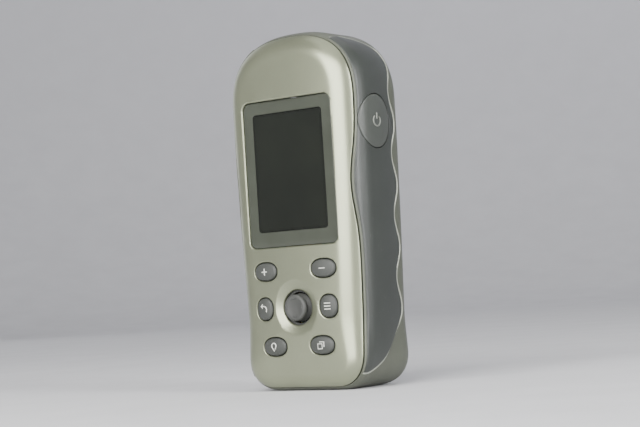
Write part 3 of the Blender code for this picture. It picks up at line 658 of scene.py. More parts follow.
SILVER = lin(142, 146, 124)
MAT = {}
MAT["front"] = plastic("silver_front", SILVER, rough=0.30, metal=0.74, vary=0.04, grain=1400, bump=0.002,
                       flake=0.06, coat=0.12, rub=0.03, fleck=0.05)
MAT["rear"] = plastic("olive_rear", lin(88, 91, 80), rough=0.44, metal=0.35, vary=0.06, grain=2600,
                      bump=0.016, flake=0.2, rub=0.05)
# the rim's light silver, set lighter than the front silver: partly the lip's own silver paint and partly a painted
# highlight line along the grip's edge
MAT["rim"] = plastic("silver_rim_painted_highlight", lin(166, 169, 156), rough=0.36, metal=0.5, vary=0.05, grain=3000,
                     bump=0.008, flake=0.2)
MAT["grip"] = rubber("grip_rubber", lin(50, 53, 50), rough=0.35, dimple=1700, dust=0.08)
MAT["button"] = rubber("button_rubber", lin(64, 67, 63), rough=0.36, dimple=2100, dust=0.06)
MAT["mark"] = rubber("button_mark", lin(112, 115, 108), rough=0.5, dimple=2400, dust=0.0)
MAT["key"] = rubber("key_rubber", lin(56, 58, 55), rough=0.5, dimple=2400, dust=0.05)
MAT["glyph"] = plastic("glyph_ink", lin(205, 206, 198), rough=0.5, grain=3000, bump=0.01)
MAT["stick"] = rubber("stick_rubber", lin(58, 59, 57), rough=0.55, dimple=2000, dust=0.06)
MAT["door"] = plastic("door_plastic", lin(80, 83, 73), rough=0.50, metal=0.2, vary=0.06, grain=2300, bump=0.022, flake=0.1)
MAT["inner"] = plastic("inner_plastic", lin(58, 60, 56), rough=0.6, grain=1800, bump=0.03)
MAT["lens"] = display_material()
MAT["steel"] = metal("stainless", lin(190, 188, 183), 0.27, brush="X")
MAT["ring"] = metal("ring_wire", lin(196, 194, 190), 0.22, brush="X")
MAT["tin"] = metal("tinned_sheet", lin(196, 196, 190), 0.33, brush="Z", spots=0.25)
MAT["screw"] = metal("screw_steel", lin(150, 149, 146), 0.3, spots=0.3)
MAT["spring"] = metal("spring_nickel", lin(188, 184, 172), 0.25)
MAT["gold"] = metal("gold_contact", lin(206, 172, 96), 0.28)
MAT["seal"] = rubber("seal_silicone", lin(92, 92, 90), rough=0.6, dimple=2000)
MAT["pcb"] = plastic("circuit_board", lin(22, 78, 44), rough=0.35, grain=900, vary=0.15, bump=0.02)
MAT["chip"] = plastic("chip_epoxy", lin(32, 32, 33), rough=0.5, grain=1600, bump=0.02)
MAT["foam"] = rubber("foam", lin(30, 30, 30), rough=0.95, dimple=900)
MAT["white"] = plastic("diffuser", lin(226, 226, 220), rough=0.4, grain=1500)
MAT["ceramic"] = plastic("antenna_ceramic", lin(196, 178, 146), rough=0.55, grain=1300, bump=0.03)
MAT["flex"] = plastic("polyimide", lin(176, 116, 44), rough=0.3, grain=800)


def cell_material():
    """A plain two-tone sleeve, its bright shoulder at the raised terminal."""
    m = bpy.data.materials.new("cell_sleeve")
    k = Nodes(m)
    x, y, z = k.xyz()
    up = k.math("LESS_THAN", x, 0.0)
    hi = k.maprange(z, 0.0622, 0.0624, 0.0, 1.0)
    lo = k.maprange(z, 0.0353, 0.0355, 1.0, 0.0)
    band = k.math("ADD", k.math("MULTIPLY", up, hi), k.math("MULTIPLY", k.math("SUBTRACT", 1.0, up), lo))
    dark = k.ramp(k.noise(80.0, 3.0), [(0.3, lin(38, 44, 52)), (0.7, lin(46, 52, 60))])
    bright = k.ramp(k.noise(80.0, 3.0), [(0.3, lin(178, 140, 88)), (0.7, lin(196, 156, 98))])
    k.to("Base Color", k.mix(band, dark, bright))
    k.to("Metallic", 0.45)
    k.to("Roughness", k.maprange(k.noise(240.0, 4.0), 0.3, 0.7, 0.20, 0.36))
    k.to("Normal", k.bump(k.noise(1400.0, 2.0), 0.05, 0.00004))
    return m


MAT["cell"] = cell_material()


# ================================================================ the shells ==
def rolled_edge(v, r, inward, towards):
    """Offsets that roll a shell's edge over a quarter round of radius r:
    pairs of (arc length along the section, offset from the surface)."""
    return [(towards * (-r + r * math.sin(R(a))), -r + r * math.cos(R(a))) for a in (0, 22, 45, 67, 90)]


def v_shift(z, ds):
    """A section arc length, in millimetres, as a change of v on the front roll."""
    return ds / (edge_radius(z) * R(90.0 - FRONT_TILT))


def build_front():
    rings = list(reversed(face_rings("front", 16)))
    rings.append(ring(0.0))
    for t in (0.12, 0.24, 0.36, 0.48, 0.60, 0.72, 0.82, 0.90):
        rings.append(ring(lambda z, t=t: parting(z) * t))
    er = 0.38
    for ds, off in rolled_edge(None, er, 1, 1):
        rings.append(ring(lambda z, ds=ds: parting(z) + v_shift(z, ds - 0.05), off))
    rings.append(ring(lambda z: parting(z) + v_shift(z, -0.05), -FRONT_T))
    rings.append(ring(lambda z: parting(z) * 0.6, -FRONT_T))
    rings.append(ring(lambda z: parting(z) * 0.3, -FRONT_T))
    rings.append(ring(0.0, -FRONT_T))
    inner = face_rings("front", 4, -FRONT_T)
    rings += inner
    ob = to_object(loft_bm(rings, False, False, 2e-3), "front_shell", MAT["front"])
    fy = face_y_fast("front")
    tools = []
    tools.append(flared_cutter("c", densify(rrect(18.12, 46.88, 95.12, 2.7, 10), 1.5), fy, -10.0, 0.55, -1))
    for kn, kx, kz, ka, kb in KEYS:
        tools.append(flared_cutter("c", ellipse(kx, kz, ka + 0.28, kb + 0.28, 56, 2.3), fy, -10.0, 0.35, -1))
    # dished round the thumb stick, open in the middle
    dish = []
    y0 = fy(0, STICK_Z)
    for r, y in ((5.75, -10.0), (5.75, y0 + 1.35), (5.9, y0 + 1.12), (6.3, y0 + 0.93), (7.2, y0 + 0.62),
                 (8.2, y0 + 0.27), (8.9, y0 + 0.07), (9.5, y0 - 0.06), (9.9, y0 - 1.2), (9.9, y0 - 3.0)):
        dish.append([(r * math.cos(2 * math.pi * k / 72), y, STICK_Z + r * math.sin(2 * math.pi * k / 72))
                     for k in range(72)])
    tools.append(loft("dish", dish))
    apply_bool(ob, tools)
    resharpen(ob, 38)
    return ob


KEYS = (("key_zoom_in", -11.8, 39.2, 4.6, 2.9), ("key_zoom_out", 11.8, 39.2, 4.6, 2.9),
        ("key_back", -13.0, 27.0, 3.3, 3.6), ("key_menu", 13.0, 27.0, 3.3, 3.6),
        ("key_mark", -9.6, 14.6, 4.6, 2.9), ("key_page", 9.6, 14.6, 4.6, 2.9))
SCREW_X, SCREW_ZS = 18.7, (20.0, 99.0)

front = build_front()
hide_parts("front_housing")
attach(front, "housing")


def side_oval(grow, n=72):
    t = np.linspace(0, 2 * np.pi, n, endpoint=False)
    return [(BTN_Y + (BTN_A + grow) * math.cos(a), BTN_Z + (BTN_B + grow) * math.sin(a)) for a in t]


def side_cutter(grow, deep, r, proud=0.12):
    """The button's oval drawn along X, with a rounded mouth on the grip."""
    pts = np.array(side_oval(grow))
    rings = [[(deep, y, z) for y, z in pts]]
    for k in range(0, 7):
        a = R(80.0 * k / 6)
        q = offset2(pts, r * (1 - math.cos(a)))
        rings.append([(side_x(y0, z0) + proud - r * (1 - math.sin(a)), y, z) for (y, z), (y0, z0) in zip(q, pts)])
    q = offset2(pts, r * (1 - math.cos(R(80))) + 0.2)
    rings.append([(side_x(y0, z0) + proud + 0.1, y, z) for (y, z), (y0, z0) in zip(q, pts)])
    rings.append([(32.0, y, z) for y, z in q])
    return loft("c", rings)


def build_rear():
    rings = list(reversed(face_rings("rear", 12)))
    rings.append(ring(3.0))
    for v in (2.9, 2.8, 2.7, 2.6, 2.5, 2.4, 2.3, 2.2, 2.1, 2.0, 1.85, 1.7, 1.55, 1.4, 1.25, 1.12, 1.0):
        rings.append(ring(v))
    for t in (0.8, 0.6, 0.4, 0.2, 0.08):
        rings.append(ring(lambda z, t=t: parting(z) + (1 - parting(z)) * t))
    er = 0.38
    for ds, off in rolled_edge(None, er, 1, -1):
        rings.append(ring(lambda z, ds=ds: parting(z) + v_shift(z, ds + 0.30), off))
    rings.append(ring(lambda z: parting(z) + v_shift(z, 0.30), -REAR_T))
    rings.append(ring(1.0, -REAR_T))
    rings.append(ring(2.0, -REAR_T))
    rings.append(ring(2.5, -REAR_T))
    rings.append(ring(3.0, -REAR_T))
    rings += face_rings("rear", 4, -REAR_T)
    ob = to_object(loft_bm(rings, False, False, 2e-3), "rear_shell", MAT["rear"])
    fy = face_y_fast("rear")
    tools = [flared_cutter("c", densify(rrect(16.15, 5.35, 82.25, 2.2, 8), 1.6), fy, 11.0, 0.35, 1),
             flared_cutter("c", densify(rrect(7.25, 87.25, 96.75, 1.3, 8), 1.2), fy, 11.0, 0.30, 1),
             side_cutter(0.5, 20.0, 0.1, 0.0)]
    apply_bool(ob, tools)
    wells = []
    for sx in (-1, 1):
        for z in SCREW_ZS:
            rings = []
            for r, y in ((1.9, 9.0), (1.9, 14.0), (1.93, 14.5), (2.02, 14.95), (2.2, 15.4), (2.3, 16.2), (2.3, 20.0)):
                rings.append([(sx * SCREW_X + r * math.cos(2 * math.pi * k / 32), y,
                               z + r * math.sin(2 * math.pi * k / 32)) for k in range(32)])
            wells.append(loft("c", rings))
    apply_bool(ob, wells)
    resharpen(ob, 38)
    return ob


rear = build_rear()
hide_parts("rear_housing")
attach(rear, "housing")


# ===================================================== rubber grips and rims ==
def grip_range():
    """Outline indices of the right side between the grip's two points."""
    half = NRING // 2
    z = P2[: half + 1, 1]
    x = P2[: half + 1, 0]
    i0 = int(np.argmin(np.abs(z - 4.5) + (x < 14) * 99))
    i1 = int(np.argmin(np.abs(x - 16.3) + (z < 100) * 99))
    return i0, i1


GI0, GI1 = grip_range()


def grip_bounds(f, z, r):
    """v of the grip's front and rear edge. f runs 0..1 along it; it tapers to
    a point at each end."""
    flat = HALF_D - r
    vf = float(parting(z)) + 0.95 / (r * R(90.0 - FRONT_TILT))
    a = R(90.0 - FRONT_TILT) * (1 - vf)
    y_f = -flat - r * math.sin(a)
    top = min((1 - f) / 0.075, 1.0)
    low = min(f / 0.18, 1.0)
    ease = math.sqrt(max(1 - (1 - top) ** 2, 0.0)) * math.sin(low * math.pi / 2) ** 0.75
    y_r = y_f + 0.25 + (float(grip_rear_y(z)) - y_f - 0.25) * ease
    if y_r <= -flat:
        vr = 1 - math.asin(min((-flat - y_r) / r, 1.0)) / R(90.0 - FRONT_TILT)
    elif y_r <= flat:
        vr = 1 + (y_r + flat) / (2 * flat)
    else:
        vr = 2 + math.asin(min((y_r - flat) / r, 1.0)) / R(90.0 - REAR_TILT)
    return vf, vr


def dense_side(count):
    """Finely spaced outline points and normals along the grip."""
    m = len(P2F)
    j = np.linspace(GI0 * m / NRING, GI1 * m / NRING, count)
    k = np.clip(j.astype(int), 0, m - 1)
    return P2F[k], N2F[k]


def sec_point(p, n, v, off, side, swell=0.0):
    if swell:
        _, y, _, _ = section(np.array([v]), np.array([p[1]]), off)
        off += swell * belly(float(y[0]))
    d, y, co, so = section(np.array([v]), np.array([p[1]]), off)
    q = p - n * d[0]
    return (side * q[0], float(y[0]), q[1])


def arc_to_v(z, vf, vr, ds_f, ds_r):
    r = float(edge_radius(z))
    flat = HALF_D - r

    def rate(v):
        return r * R(90 - FRONT_TILT) if v <= 1 else (2 * flat if v <= 2 else r * R(90 - REAR_TILT))
    return vf + ds_f / rate(vf), vr - ds_r / rate(vr)


def build_grip(name, side):
    count = 240
    pts, nrm = dense_side(count)
    proud, er = 0.14, 0.30
    grid = []
    for i in range(count):
        f = i / (count - 1)
        z = pts[i, 1]
        r = float(edge_radius(z))
        vf, vr = grip_bounds(f, z, r)
        row = []
        # front edge rolls up, across, and down again
        width = max((vr - vf) * 10.0, 0.3)
        e = min(er, width * 0.35)
        # the swell dies away towards both points
        tip = min(min(f / 0.10, (1 - f) / 0.12), 1.0)
        tip = tip * tip * (3 - 2 * tip)
        a0, b0 = arc_to_v(z, vf, vr, 0.12, 0.12)
        row.append(sec_point(pts[i], nrm[i], a0, -1.1, side))
        row.append(sec_point(pts[i], nrm[i], a0, -0.35, side))
        for a in (0, 30, 60, 90):
            v1, _ = arc_to_v(z, a0, b0, e * (1 - math.cos(R(a))), 0)
            row.append(sec_point(pts[i], nrm[i], v1, proud - e * (1 - math.sin(R(a))), side, tip))
        v1, v2 = arc_to_v(z, a0, b0, e, e)
        for k in range(1, 22):
            row.append(sec_point(pts[i], nrm[i], v1 + (v2 - v1) * k / 22, proud, side, tip))
        for a in (90, 60, 30, 0):
            _, v3 = arc_to_v(z, a0, b0, 0, e * (1 - math.cos(R(a))))
            row.append(sec_point(pts[i], nrm[i], v3, proud - e * (1 - math.sin(R(a))), side, tip))
        row.append(sec_point(pts[i], nrm[i], b0, -0.35, side))
        row.append(sec_point(pts[i], nrm[i], b0, -1.1, side))
        grid.append(row)
    bm = loft_bm(grid, True, True)
    ob = to_object(bm, name, MAT["grip"], 50)
    if side > 0:
        apply_bool(ob, [side_cutter(0.22, 20.0, 0.22, proud)])
        resharpen(ob, 45)
    return ob


def build_rim(name, side):
    """The thin raised rim of the shell round a grip; its rear run is light silver, partly its own paint and partly a
    painted highlight line.
    """
    count = 260
    pts, nrm = dense_side(count)
    fr, re, nf, nr = [], [], [], []
    for i in range(count):
        f = i / (count - 1)
        z = pts[i, 1]
        r = float(edge_radius(z))
        vf, vr = grip_bounds(f, z, r)
        va, vb = arc_to_v(z, vf, vr, -0.18, -0.18)
        for v, arr, na in ((va, fr, nf), (vb, re, nr)):
            _, _, co, so = section(np.array([v]), np.array([z]))
            arr.append(sec_point(pts[i], nrm[i], v, 0.02, side))
            na.append((side * nrm[i, 0] * co[0], float(so[0]), nrm[i, 1] * co[0]))
    loop = fr + re[::-1]
    ups = np.array(nf + nr[::-1])
    f = np.linspace(0, 1, count)
    ends = np.clip(np.minimum(f, 1 - f) / 0.04, 0, 1)
    rad = np.concatenate([0.36 - 0.12 * ends, np.full(count, 0.36)])
    bm = tube_bm(bmesh.new(), loop, rad, n=12, closed=True, flat=0.62, up=ups)
    # rear run in the light rim paint, which carries a painted highlight line along the grip's rear edge
    ob = to_object(bm, name, MAT["rim"], 60)
    ob.data.materials.append(MAT["rear"])
    for p in ob.data.polygons:
        if p.index < 12 * count:
            p.material_index = 1      # the front run is the rear shell's own lip
    return ob


for side, gname in ((1, "right_grip"), (-1, "left_grip")):
    g = build_grip(gname + "_skin", side)
    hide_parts(gname)
    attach(g, "housing")
    rim = build_rim(gname + "_rim", side)
    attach(rim, "housing")


# ============================================================== power button ==
def build_button():
    outer = np.array(side_oval(0.0, 72))
    c = np.array([BTN_Y, BTN_Z])
    er = 0.42
    rings = [[(22.9, y, z) for y, z in c + (outer - c) * 0.6],
             [(22.9, y, z) for y, z in outer]]
    lift = 0.14
    for k in range(7):
        a = R(15 * k)
        q = offset2(outer, -er * (1 - math.cos(a)))
        rings.append([(side_x(y, z) + lift - er * (1 - math.sin(a)), y, z) for y, z in q])
    q0 = offset2(outer, -er)
    for k in range(1, 13):
        t = k / 12
        q = q0 + (c - q0) * t
        w = math.sin(math.pi * min(t / 0.55, 1.0)) if t < 0.55 else 0.0
        rings.append([(side_x(y, z) + lift + 0.18 * (1 - (1 - t) ** 2), y, z) for y, z in q])
    ob = loft("power_button_cap", rings, MAT["button"], True, False, 1e-4, 40)
    # plain ring-and-bar symbol, raised
    bm = bmesh.new()
    pts = []
    for k in range(41):
        a = R(90 + 38 + (360 - 76) * k / 40)
        y, z = BTN_Y + 1.75 * math.cos(a), BTN_Z + 1.75 * math.sin(a)
        pts.append((side_x(y, z) + lift + 0.20, y, z))
    tube_bm(bm, pts, 0.26, 10)
    tube_bm(bm, [(side_x(BTN_Y, BTN_Z + h) + lift + 0.22, BTN_Y, BTN_Z + h) for h in (0.5, 1.1, 1.8, 2.5)], 0.26, 10)
    sym = to_object(bm, "power_symbol", MAT["mark"], 60)
    return ob, sym


btn, sym = build_button()
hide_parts("power_button")
for o in (btn, sym):
    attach(o, "power_button")


# =================================================================== display ==
def build_lens():
    pts = densify(rrect(18.0, 47.0, 95.0, 2.6, 10), 1.5)
    ob = pad("display_glass", pts, lambda x, z: -14.85, -13.95, 0.28, -1, MAT["lens"], inner=6, steps=5)
    return ob


lens = build_lens()
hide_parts("display_lens")
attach(lens, "housing")


# ====================================================================== keys ==
def glyph(name, kx, kz, top):
    """Plain raised icons, no lettering: plus, minus, arrow, bars, pin, sheets."""
    bm = bmesh.new()
    w, h = 0.17, 0.14

    def line(pts, closed=False):
        tube_bm(bm, [(kx + px, top(kx + px, kz + pz) - 0.02, kz + pz) for px, pz in pts], w, 8, closed=closed)

    if name == "key_zoom_in":
        bmc = [[(-1.1, 0), (-0.35, 0), (0.35, 0), (1.1, 0)], [(0, -1.1), (0, -0.35), (0, 0.35), (0, 1.1)]]
        line(bmc[0])
        line(bmc[1])
    elif name == "key_zoom_out":
        line([(-1.1, 0), (-0.35, 0), (0.35, 0), (1.1, 0)])
    elif name == "key_back":
        line([(1.0, -0.9), (1.15, 0.0), (0.8, 0.75), (0.0, 1.0), (-1.1, 1.0)])
        line([(-0.45, 1.65), (-1.15, 1.0), (-0.45, 0.35)])
    elif name == "key_menu":
        for q in (-0.95, 0.0, 0.95):
            line([(-1.15, q), (0, q), (1.15, q)])
    elif name == "key_mark":
        line([(0.9 * math.cos(R(a)), 0.35 + 0.9 * math.sin(R(a))) for a in range(-40, 221, 20)]
             + [(0.0, -1.35)], True)
    elif name == "key_page":
        line([(-1.2, -1.1), (0.5, -1.1), (0.5, 0.5), (-1.2, 0.5)], True)
        line([(-0.5, 1.1), (1.2, 1.1), (1.2, -0.5)])
    return to_object(bm, name + "_icon", MAT["glyph"], 60)


fy_front = face_y_fast("front")
for kn, kx, kz, ka, kb in KEYS:
    out = ellipse(kx, kz, ka, kb, 64, 2.3)
    base = fy_front(kx, kz)
    yk = lambda x, z: fy_front(x, z) - 0.42
    cap = pad(kn + "_cap", out, yk, -12.9, 0.75, -1, MAT["key"], inner=10, dome=0.32)
    fl = pad(kn + "_flange", ellipse(kx, kz, ka + 0.8, kb + 0.8, 48, 2.3), lambda x, z: -13.35, -12.7, 0.15, -1, MAT["key"], inner=2)
    join_meshes(cap, [fl])
    c2 = np.array([kx, kz])

    def top(x, z, kx=kx, kz=kz, ka=ka, kb=kb):
        t = 1 - min(((abs(x - kx) / (ka - 0.75)) ** 2.3 + (abs(z - kz) / (kb - 0.75)) ** 2.3) ** (1 / 2.3), 1.0)
        return fy_front(x, z) - 0.42 - 0.32 * (1 - (1 - t) ** 2)

    ic = glyph(kn, kx, kz, top)
    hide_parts(kn)
    for o in (cap, ic):
        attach(o, kn.replace("key_", ""))


# =============================================================== thumb stick ==
def build_stick():
    ytop = -17.0
    prof = [(0.0, ytop + 0.42), (1.2, ytop + 0.40), (2.2, ytop + 0.28), (2.9, ytop + 0.10), (3.4, ytop + 0.0),
            (3.85, ytop + 0.06), (4.15, ytop + 0.28), (4.3, ytop + 0.62), (4.3, ytop + 1.15), (4.15, ytop + 1.5),
            (3.8, ytop + 1.75), (3.1, ytop + 1.98), (2.7, ytop + 2.10)]
    rr = 6.0
    for a in range(29, 52, 3):
        prof.append((rr * math.sin(R(a)), STICK_Y - rr * math.cos(R(a))))
    for a in range(50, 14, -4):
        prof.append(((rr - 0.5) * math.sin(R(a)), STICK_Y - (rr - 0.5) * math.cos(R(a))))
    prof += [(1.4, STICK_Y - 5.2), (1.4, STICK_Y + 0.5), (0.0, STICK_Y + 0.5)]
    ob = lathe_y("stick_cap", prof, 0, STICK_Z, MAT["stick"], 64, 40)
    # four raised marks on the rim, one to each side
    bm = bmesh.new()
    for k in range(4):
        a = R(90 * k)
        ca, sa = math.cos(a), math.sin(a)
        pts = []
        for s in (-0.62, -0.3, 0.0, 0.3, 0.62):
            pts.append((2.95 * ca - s * sa, ytop + 0.05, STICK_Z + 2.95 * sa + s * ca))
        tube_bm(bm, pts, 0.24, 8, flat=0.7, up=(0, -1, 0))
    nubs = to_object(bm, "stick_nubs", MAT["stick"], 60)
    join_meshes(ob, [nubs])
    return ob


stick = build_stick()
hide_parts("joystick_stick")
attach(stick, "thumb_stick")
collar = lathe_y("stick_collar", [(5.05, -13.35), (5.0, -13.6), (5.15, -13.8), (5.6, -13.9), (6.3, -13.75),
                                  (6.6, -13.5), (6.6, -12.9), (5.05, -12.9), (5.05, -13.35)],
                 0, STICK_Z, MAT["stick"], 64, 40)
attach(collar, "housing")

# ============================================================== battery door ==
fy_rear = face_y_fast("rear")
LATCH_Z = 13.5


def build_door():
    pts = densify(rrect(15.9, 5.6, 82.0, 2.0, 8), 1.6)
    ob = pad("door_panel", pts, fy_rear, 13.5, 0.40, 1, MAT["door"], inner=14)
    tools = []
    # round recess for the ring, with a soft mouth
    y0 = fy_rear(0, LATCH_Z)
    rings = []
    for r, y in ((7.15, 14.45), (7.15, y0 - 0.35), (7.22, y0 - 0.2), (7.38, y0 - 0.07), (7.7, y0 + 0.04), (7.9, y0 + 1), (7.9, y0 + 3)):
        rings.append([(r * math.cos(2 * math.pi * k / 72), y, LATCH_Z + r * math.sin(2 * math.pi * k / 72)) for k in range(72)])
    tools.append(loft("c", rings))
    # finger grooves above the latch
    for k in range(5):
        z = 25.2 + 2.6 * k
        hw = 7.4 - 0.55 * abs(k - 2)
        q = densify(rrect(hw, z - 0.55, z + 0.55, 0.5, 5), 1.2)
        tools.append(flared_cutter("c", q, fy_rear, fy_rear(0, z) - 0.55, 0.35, 1))
    apply_bool(ob, tools)
    hole = [[(1.95 * math.cos(2 * math.pi * k / 32), y, LATCH_Z + 1.95 * math.sin(2 * math.pi * k / 32)) for k in range(32)]
            for y in (12.0, 16.0)]
    apply_bool(ob, [loft("c", hole)])
    hooks = []
    for sx in (-1, 1):
        hooks.append(solid_box("h", (sx * 9 - 2.2, sx * 9 + 2.2, 12.4, 13.2, 80.6, 84.1), 0.2, 2))
        hooks.append(solid_box("h", (sx * 9 - 2.15, sx * 9 + 2.15, 12.4, 13.6, 80.0, 81.6), 0.2, 2))
    # stiffening ribs inside
    for x in (-11.0, -3.6, 3.6, 11.0):
        hooks.append(solid_box("h", (x - 0.4, x + 0.4, 13.15, 13.7, 24.0, 76.0), 0.12, 2))
    join_meshes(ob, hooks)
    resharpen(ob, 38)
    return ob


door = build_door()
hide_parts("battery_door")
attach(door, "door")


def build_stud():
    y1 = 15.9
    prof = [(0.0, y1 + 0.02), (1.6, y1), (2.35, y1 - 0.04), (2.68, y1 - 0.16), (2.86, y1 - 0.38), (2.9, y1 - 0.7),
            (2.9, 14.65), (2.75, 14.52), (1.6, 14.5), (1.6, 11.2), (0.0, 11.2)]
    ob = lathe_y("latch_stud_head", prof, 0, LATCH_Z, MAT["steel"], 56, 30)
    slot = [solid_box("c", (-6.0, 6.0, 15.35, 18.0, LATCH_Z - 0.85, LATCH_Z + 0.85), 0.0)]
    bore = [[(x, 15.75 + 0.92 * math.cos(2 * math.pi * k / 24), LATCH_Z + 0.92 * math.sin(2 * math.pi * k / 24)) for k in range(24)]
            for x in (-6.0, 6.0)]
    apply_bool(ob, slot)
    apply_bool(ob, [loft("c", bore)])
    cam = solid_box("cam", (-1.3, 1.3, 11.0, 12.2, LATCH_Z - 4.0, LATCH_Z + 4.0), 0.3, 3)
    join_meshes(ob, [cam])
    resharpen(ob, 32)
    return ob


stud = build_stud()
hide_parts("latch_stud")
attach(stud, "latch")


def build_ring():
    pts = []
    bar = 4.35
    for k in range(9):
        pts.append((-bar + 2 * bar * k / 8, 15.75, LATCH_Z))
    # small bend down into the bow
    for a in (75, 50, 25, 0):
        pts.append((bar + 0.85 * math.cos(R(a)), 15.75, LATCH_Z - 0.85 + 0.85 * math.sin(R(a))))
    for a in range(-8, -173, -7):
        pts.append((5.2 * math.cos(R(a)), 15.75, LATCH_Z - 0.9 + 5.2 * math.sin(R(a))))
    for a in (180, 155, 130, 105):
        pts.append((-bar + 0.85 * math.cos(R(a)), 15.75, LATCH_Z - 0.85 + 0.85 * math.sin(R(a))))
    bm = tube_bm(bmesh.new(), pts, 0.65, 16, closed=True, up=(0, 1, 0))
    return to_object(bm, "latch_d_ring", MAT["ring"], 60)


dring = build_ring()
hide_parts("latch_ring")
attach(dring, "ring")


# ================================================================ port cover ==
def build_port_cover():
    pts = densify(rrect(7.0, 87.5, 96.5, 1.1, 8), 1.2)

    def face(x, z):
        t = min(max((z - 94.9) / 1.4, 0.0), 1.0)      # eased off by the hinge so that it can swing
        return fy_rear(x, z) - 0.5 * t * t
    ob = pad("port_cover_flap", pts, face, 13.6, 0.35, 1, MAT["grip"], inner=14)
    nail = []
    q = rrect(2.6, 87.9, 89.1, 0.55, 6)
    nail.append(flared_cutter("c", q, fy_rear, fy_rear(0, 88.5) - 0.5, 0.3, 1))
    # plain socket symbol: a line, cut shallow
    q = rrect(2.3, 92.9, 93.35, 0.2, 5)
    nail.append(flared_cutter("c", q, fy_rear, fy_rear(0, 93) - 0.3, 0.12, 1))
    apply_bool(ob, nail)
    plug = solid_box("p", (-4.6, 4.6, 12.95, 13.8, 90.0, 94.0), 0.5, 4)
    hinge = solid_box("p", (-5.4, 5.4, 13.2, 14.0, 95.0, 96.3), 0.3, 3)
    join_meshes(ob, [plug, hinge])
    resharpen(ob, 40)
    return ob


cover = build_port_cover()
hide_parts("port_cover")
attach(cover, "port_cover")


# =============================================================== battery bay ==
def build_bay():
    """The tray behind the door: two open wells in one flange."""
    ob = solid_box("battery_bay", (-17.0, 17.0, 11.4, 12.65, 4.9, 83.2), 0.0)
    # corners rounded, so that it stays inside the shell
    flange = []
    q = rrect(17.0, 4.9, 83.2, 2.6, 8)
    bpy.data.objects.remove(ob, do_unlink=True)
    ob = loft("battery_bay", [[(x, y, z) for x, z in q] for y in (11.4, 12.65)], MAT["inner"])
    apply_bool(ob, [solid_box("c", (-16.4, 16.4, -3.1, 12.0, 19.3, 78.8), 0.8, 3)], "UNION")
    apply_bool(ob, [solid_box("c", (-16.2, 16.2, 9.2, 12.0, 6.0, 19.6), 0.0)], "UNION")
    cuts = [solid_box("c", (-15.05, 15.05, -1.9, 20.0, 20.5, 77.5), 0.9, 4),
            solid_box("c", (-14.4, 14.4, 10.4, 20.0, 7.6, 18.4), 0.5, 3)]
    apply_bool(ob, cuts)
    tabs = [solid_box("c", (sx * 9 - 2.7, sx * 9 + 2.7, 11.0, 20.0, 79.4, 90.0), 0.2, 2) for sx in (-1, 1)]
    apply_bool(ob, tabs)
    # saddle ribs under the cells and a rib along the middle of the floor
    extra = []
    for z in (34.0, 49.0, 64.0):
        extra.append(solid_box("r", (-14.9, 14.9, -2.1, -1.35 - 0.35, z - 0.5, z + 0.5), 0.15, 2))
    extra.append(solid_box("r", (-0.35, 0.35, -2.1, 3.6, 21.0, 77.0), 0.15, 2))
    join_meshes(ob, extra)
    resharpen(ob, 35)
    return ob


bay = build_bay()
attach(bay, "housing")


# ==================================================== springs and the cells ==
def build_spring(name, x, z0, z1, r0, r1):
    pts = []
    turns, per = 3.6, 26
    n = int(turns * per)
    for k in range(n + 1):
        t = k / n
        a = 2 * math.pi * turns * t
        r = r0 + (r1 - r0) * t
        zz = min(max((t - 0.10) / 0.80, 0.0), 1.0)
        pts.append((x + r * math.cos(a), 5.7 + r * math.sin(a), z0 + (z1 - z0) * zz))
    bm = tube_bm(bmesh.new(), pts, 0.3, 8)
    return to_object(bm, name + "_coil", MAT["spring"], 60)


for nm, x, z0, z1 in (("spring_left", -7.6, 21.6, 25.6), ("spring_right", 7.6, 76.4, 72.6)):
    s = build_spring(nm, x, z0, z1, 4.6, 2.6)
    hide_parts(nm)
    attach(s, "housing")


def build_cell(name, x, z0, up):
    prof = [(0.0, 0.0), (5.9, 0.0), (6.3, 0.08), (6.5, 0.3), (6.75, 0.34), (7.05, 0.42), (7.2, 0.62), (7.25, 0.95),
            (7.25, 24.0), (7.25, 48.0), (7.2, 48.35), (7.0, 48.62), (6.6, 48.78), (6.1, 48.74), (5.9, 48.6), (3.6, 48.6),
            (3.1, 48.8), (2.8, 49.2), (2.75, 50.1), (2.6, 50.38), (2.3, 50.5), (0.0, 50.5)]
    bm = bmesh.new()
    cols = []
    n = 56
    for k in range(n):
        a = 2 * math.pi * k / n
        cols.append([bm.verts.new((x + r * math.cos(a), 5.7 + r * math.sin(a) * up,
                                   z0 + (h if up > 0 else 50.5 - h))) for r, h in prof])
    for k in range(n):
        a, b = cols[k], cols[(k + 1) % n]
        for i in range(len(prof) - 1):
            bm.faces.new((a[i], a[i + 1], b[i + 1], b[i]))
    bmesh.ops.remove_doubles(bm, verts=bm.verts, dist=1e-5)
    ob = to_object(bm, name + "_cell", MAT["cell"], 30)
    ob.data.materials.append(MAT["tin"])
    for p in ob.data.polygons:
        h = p.center.z / MM - z0
        h = h if up > 0 else 50.5 - h
        if h > 48.7 or h < 0.2:
            p.material_index = 1
    return ob


for nm, x, z0, up in (("battery_left", -7.6, 26.0, 1), ("battery_right", 7.6, 21.7, -1)):
    c = build_cell(nm, x, z0, up)
    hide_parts(nm)
    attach(c, "housing")


# ===================================================== finer screws ==
def build_screw(i, sx, z):
    x = sx * SCREW_X
    prof = [(0.0, 0.42), (0.9, 0.42), (1.35, 0.34), (1.55, 0.2), (1.6, 0.0), (1.6, -0.75), (0.75, -0.78),
            (0.75, -10.1), (0.0, -10.1)]
    ob = lathe_y("screw_head_%d" % i, prof, x, z, MAT["screw"], 32, 35)
    apply_bool(ob, [solid_box("c", (x - 0.22, x + 0.22, -0.1, 2.0, z - 1.05, z + 1.05), 0.0)])
    apply_bool(ob, [solid_box("c", (x - 1.05, x + 1.05, -0.1, 2.0, z - 0.22, z + 0.22), 0.0)])
    resharpen(ob, 32)
    return ob


n = 0
for z in SCREW_ZS:
    for sx in (-1, 1):
        n += 1
        s = build_screw(n, sx, z)
        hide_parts("housing_screw_%d" % n)
        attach(s, "housing")

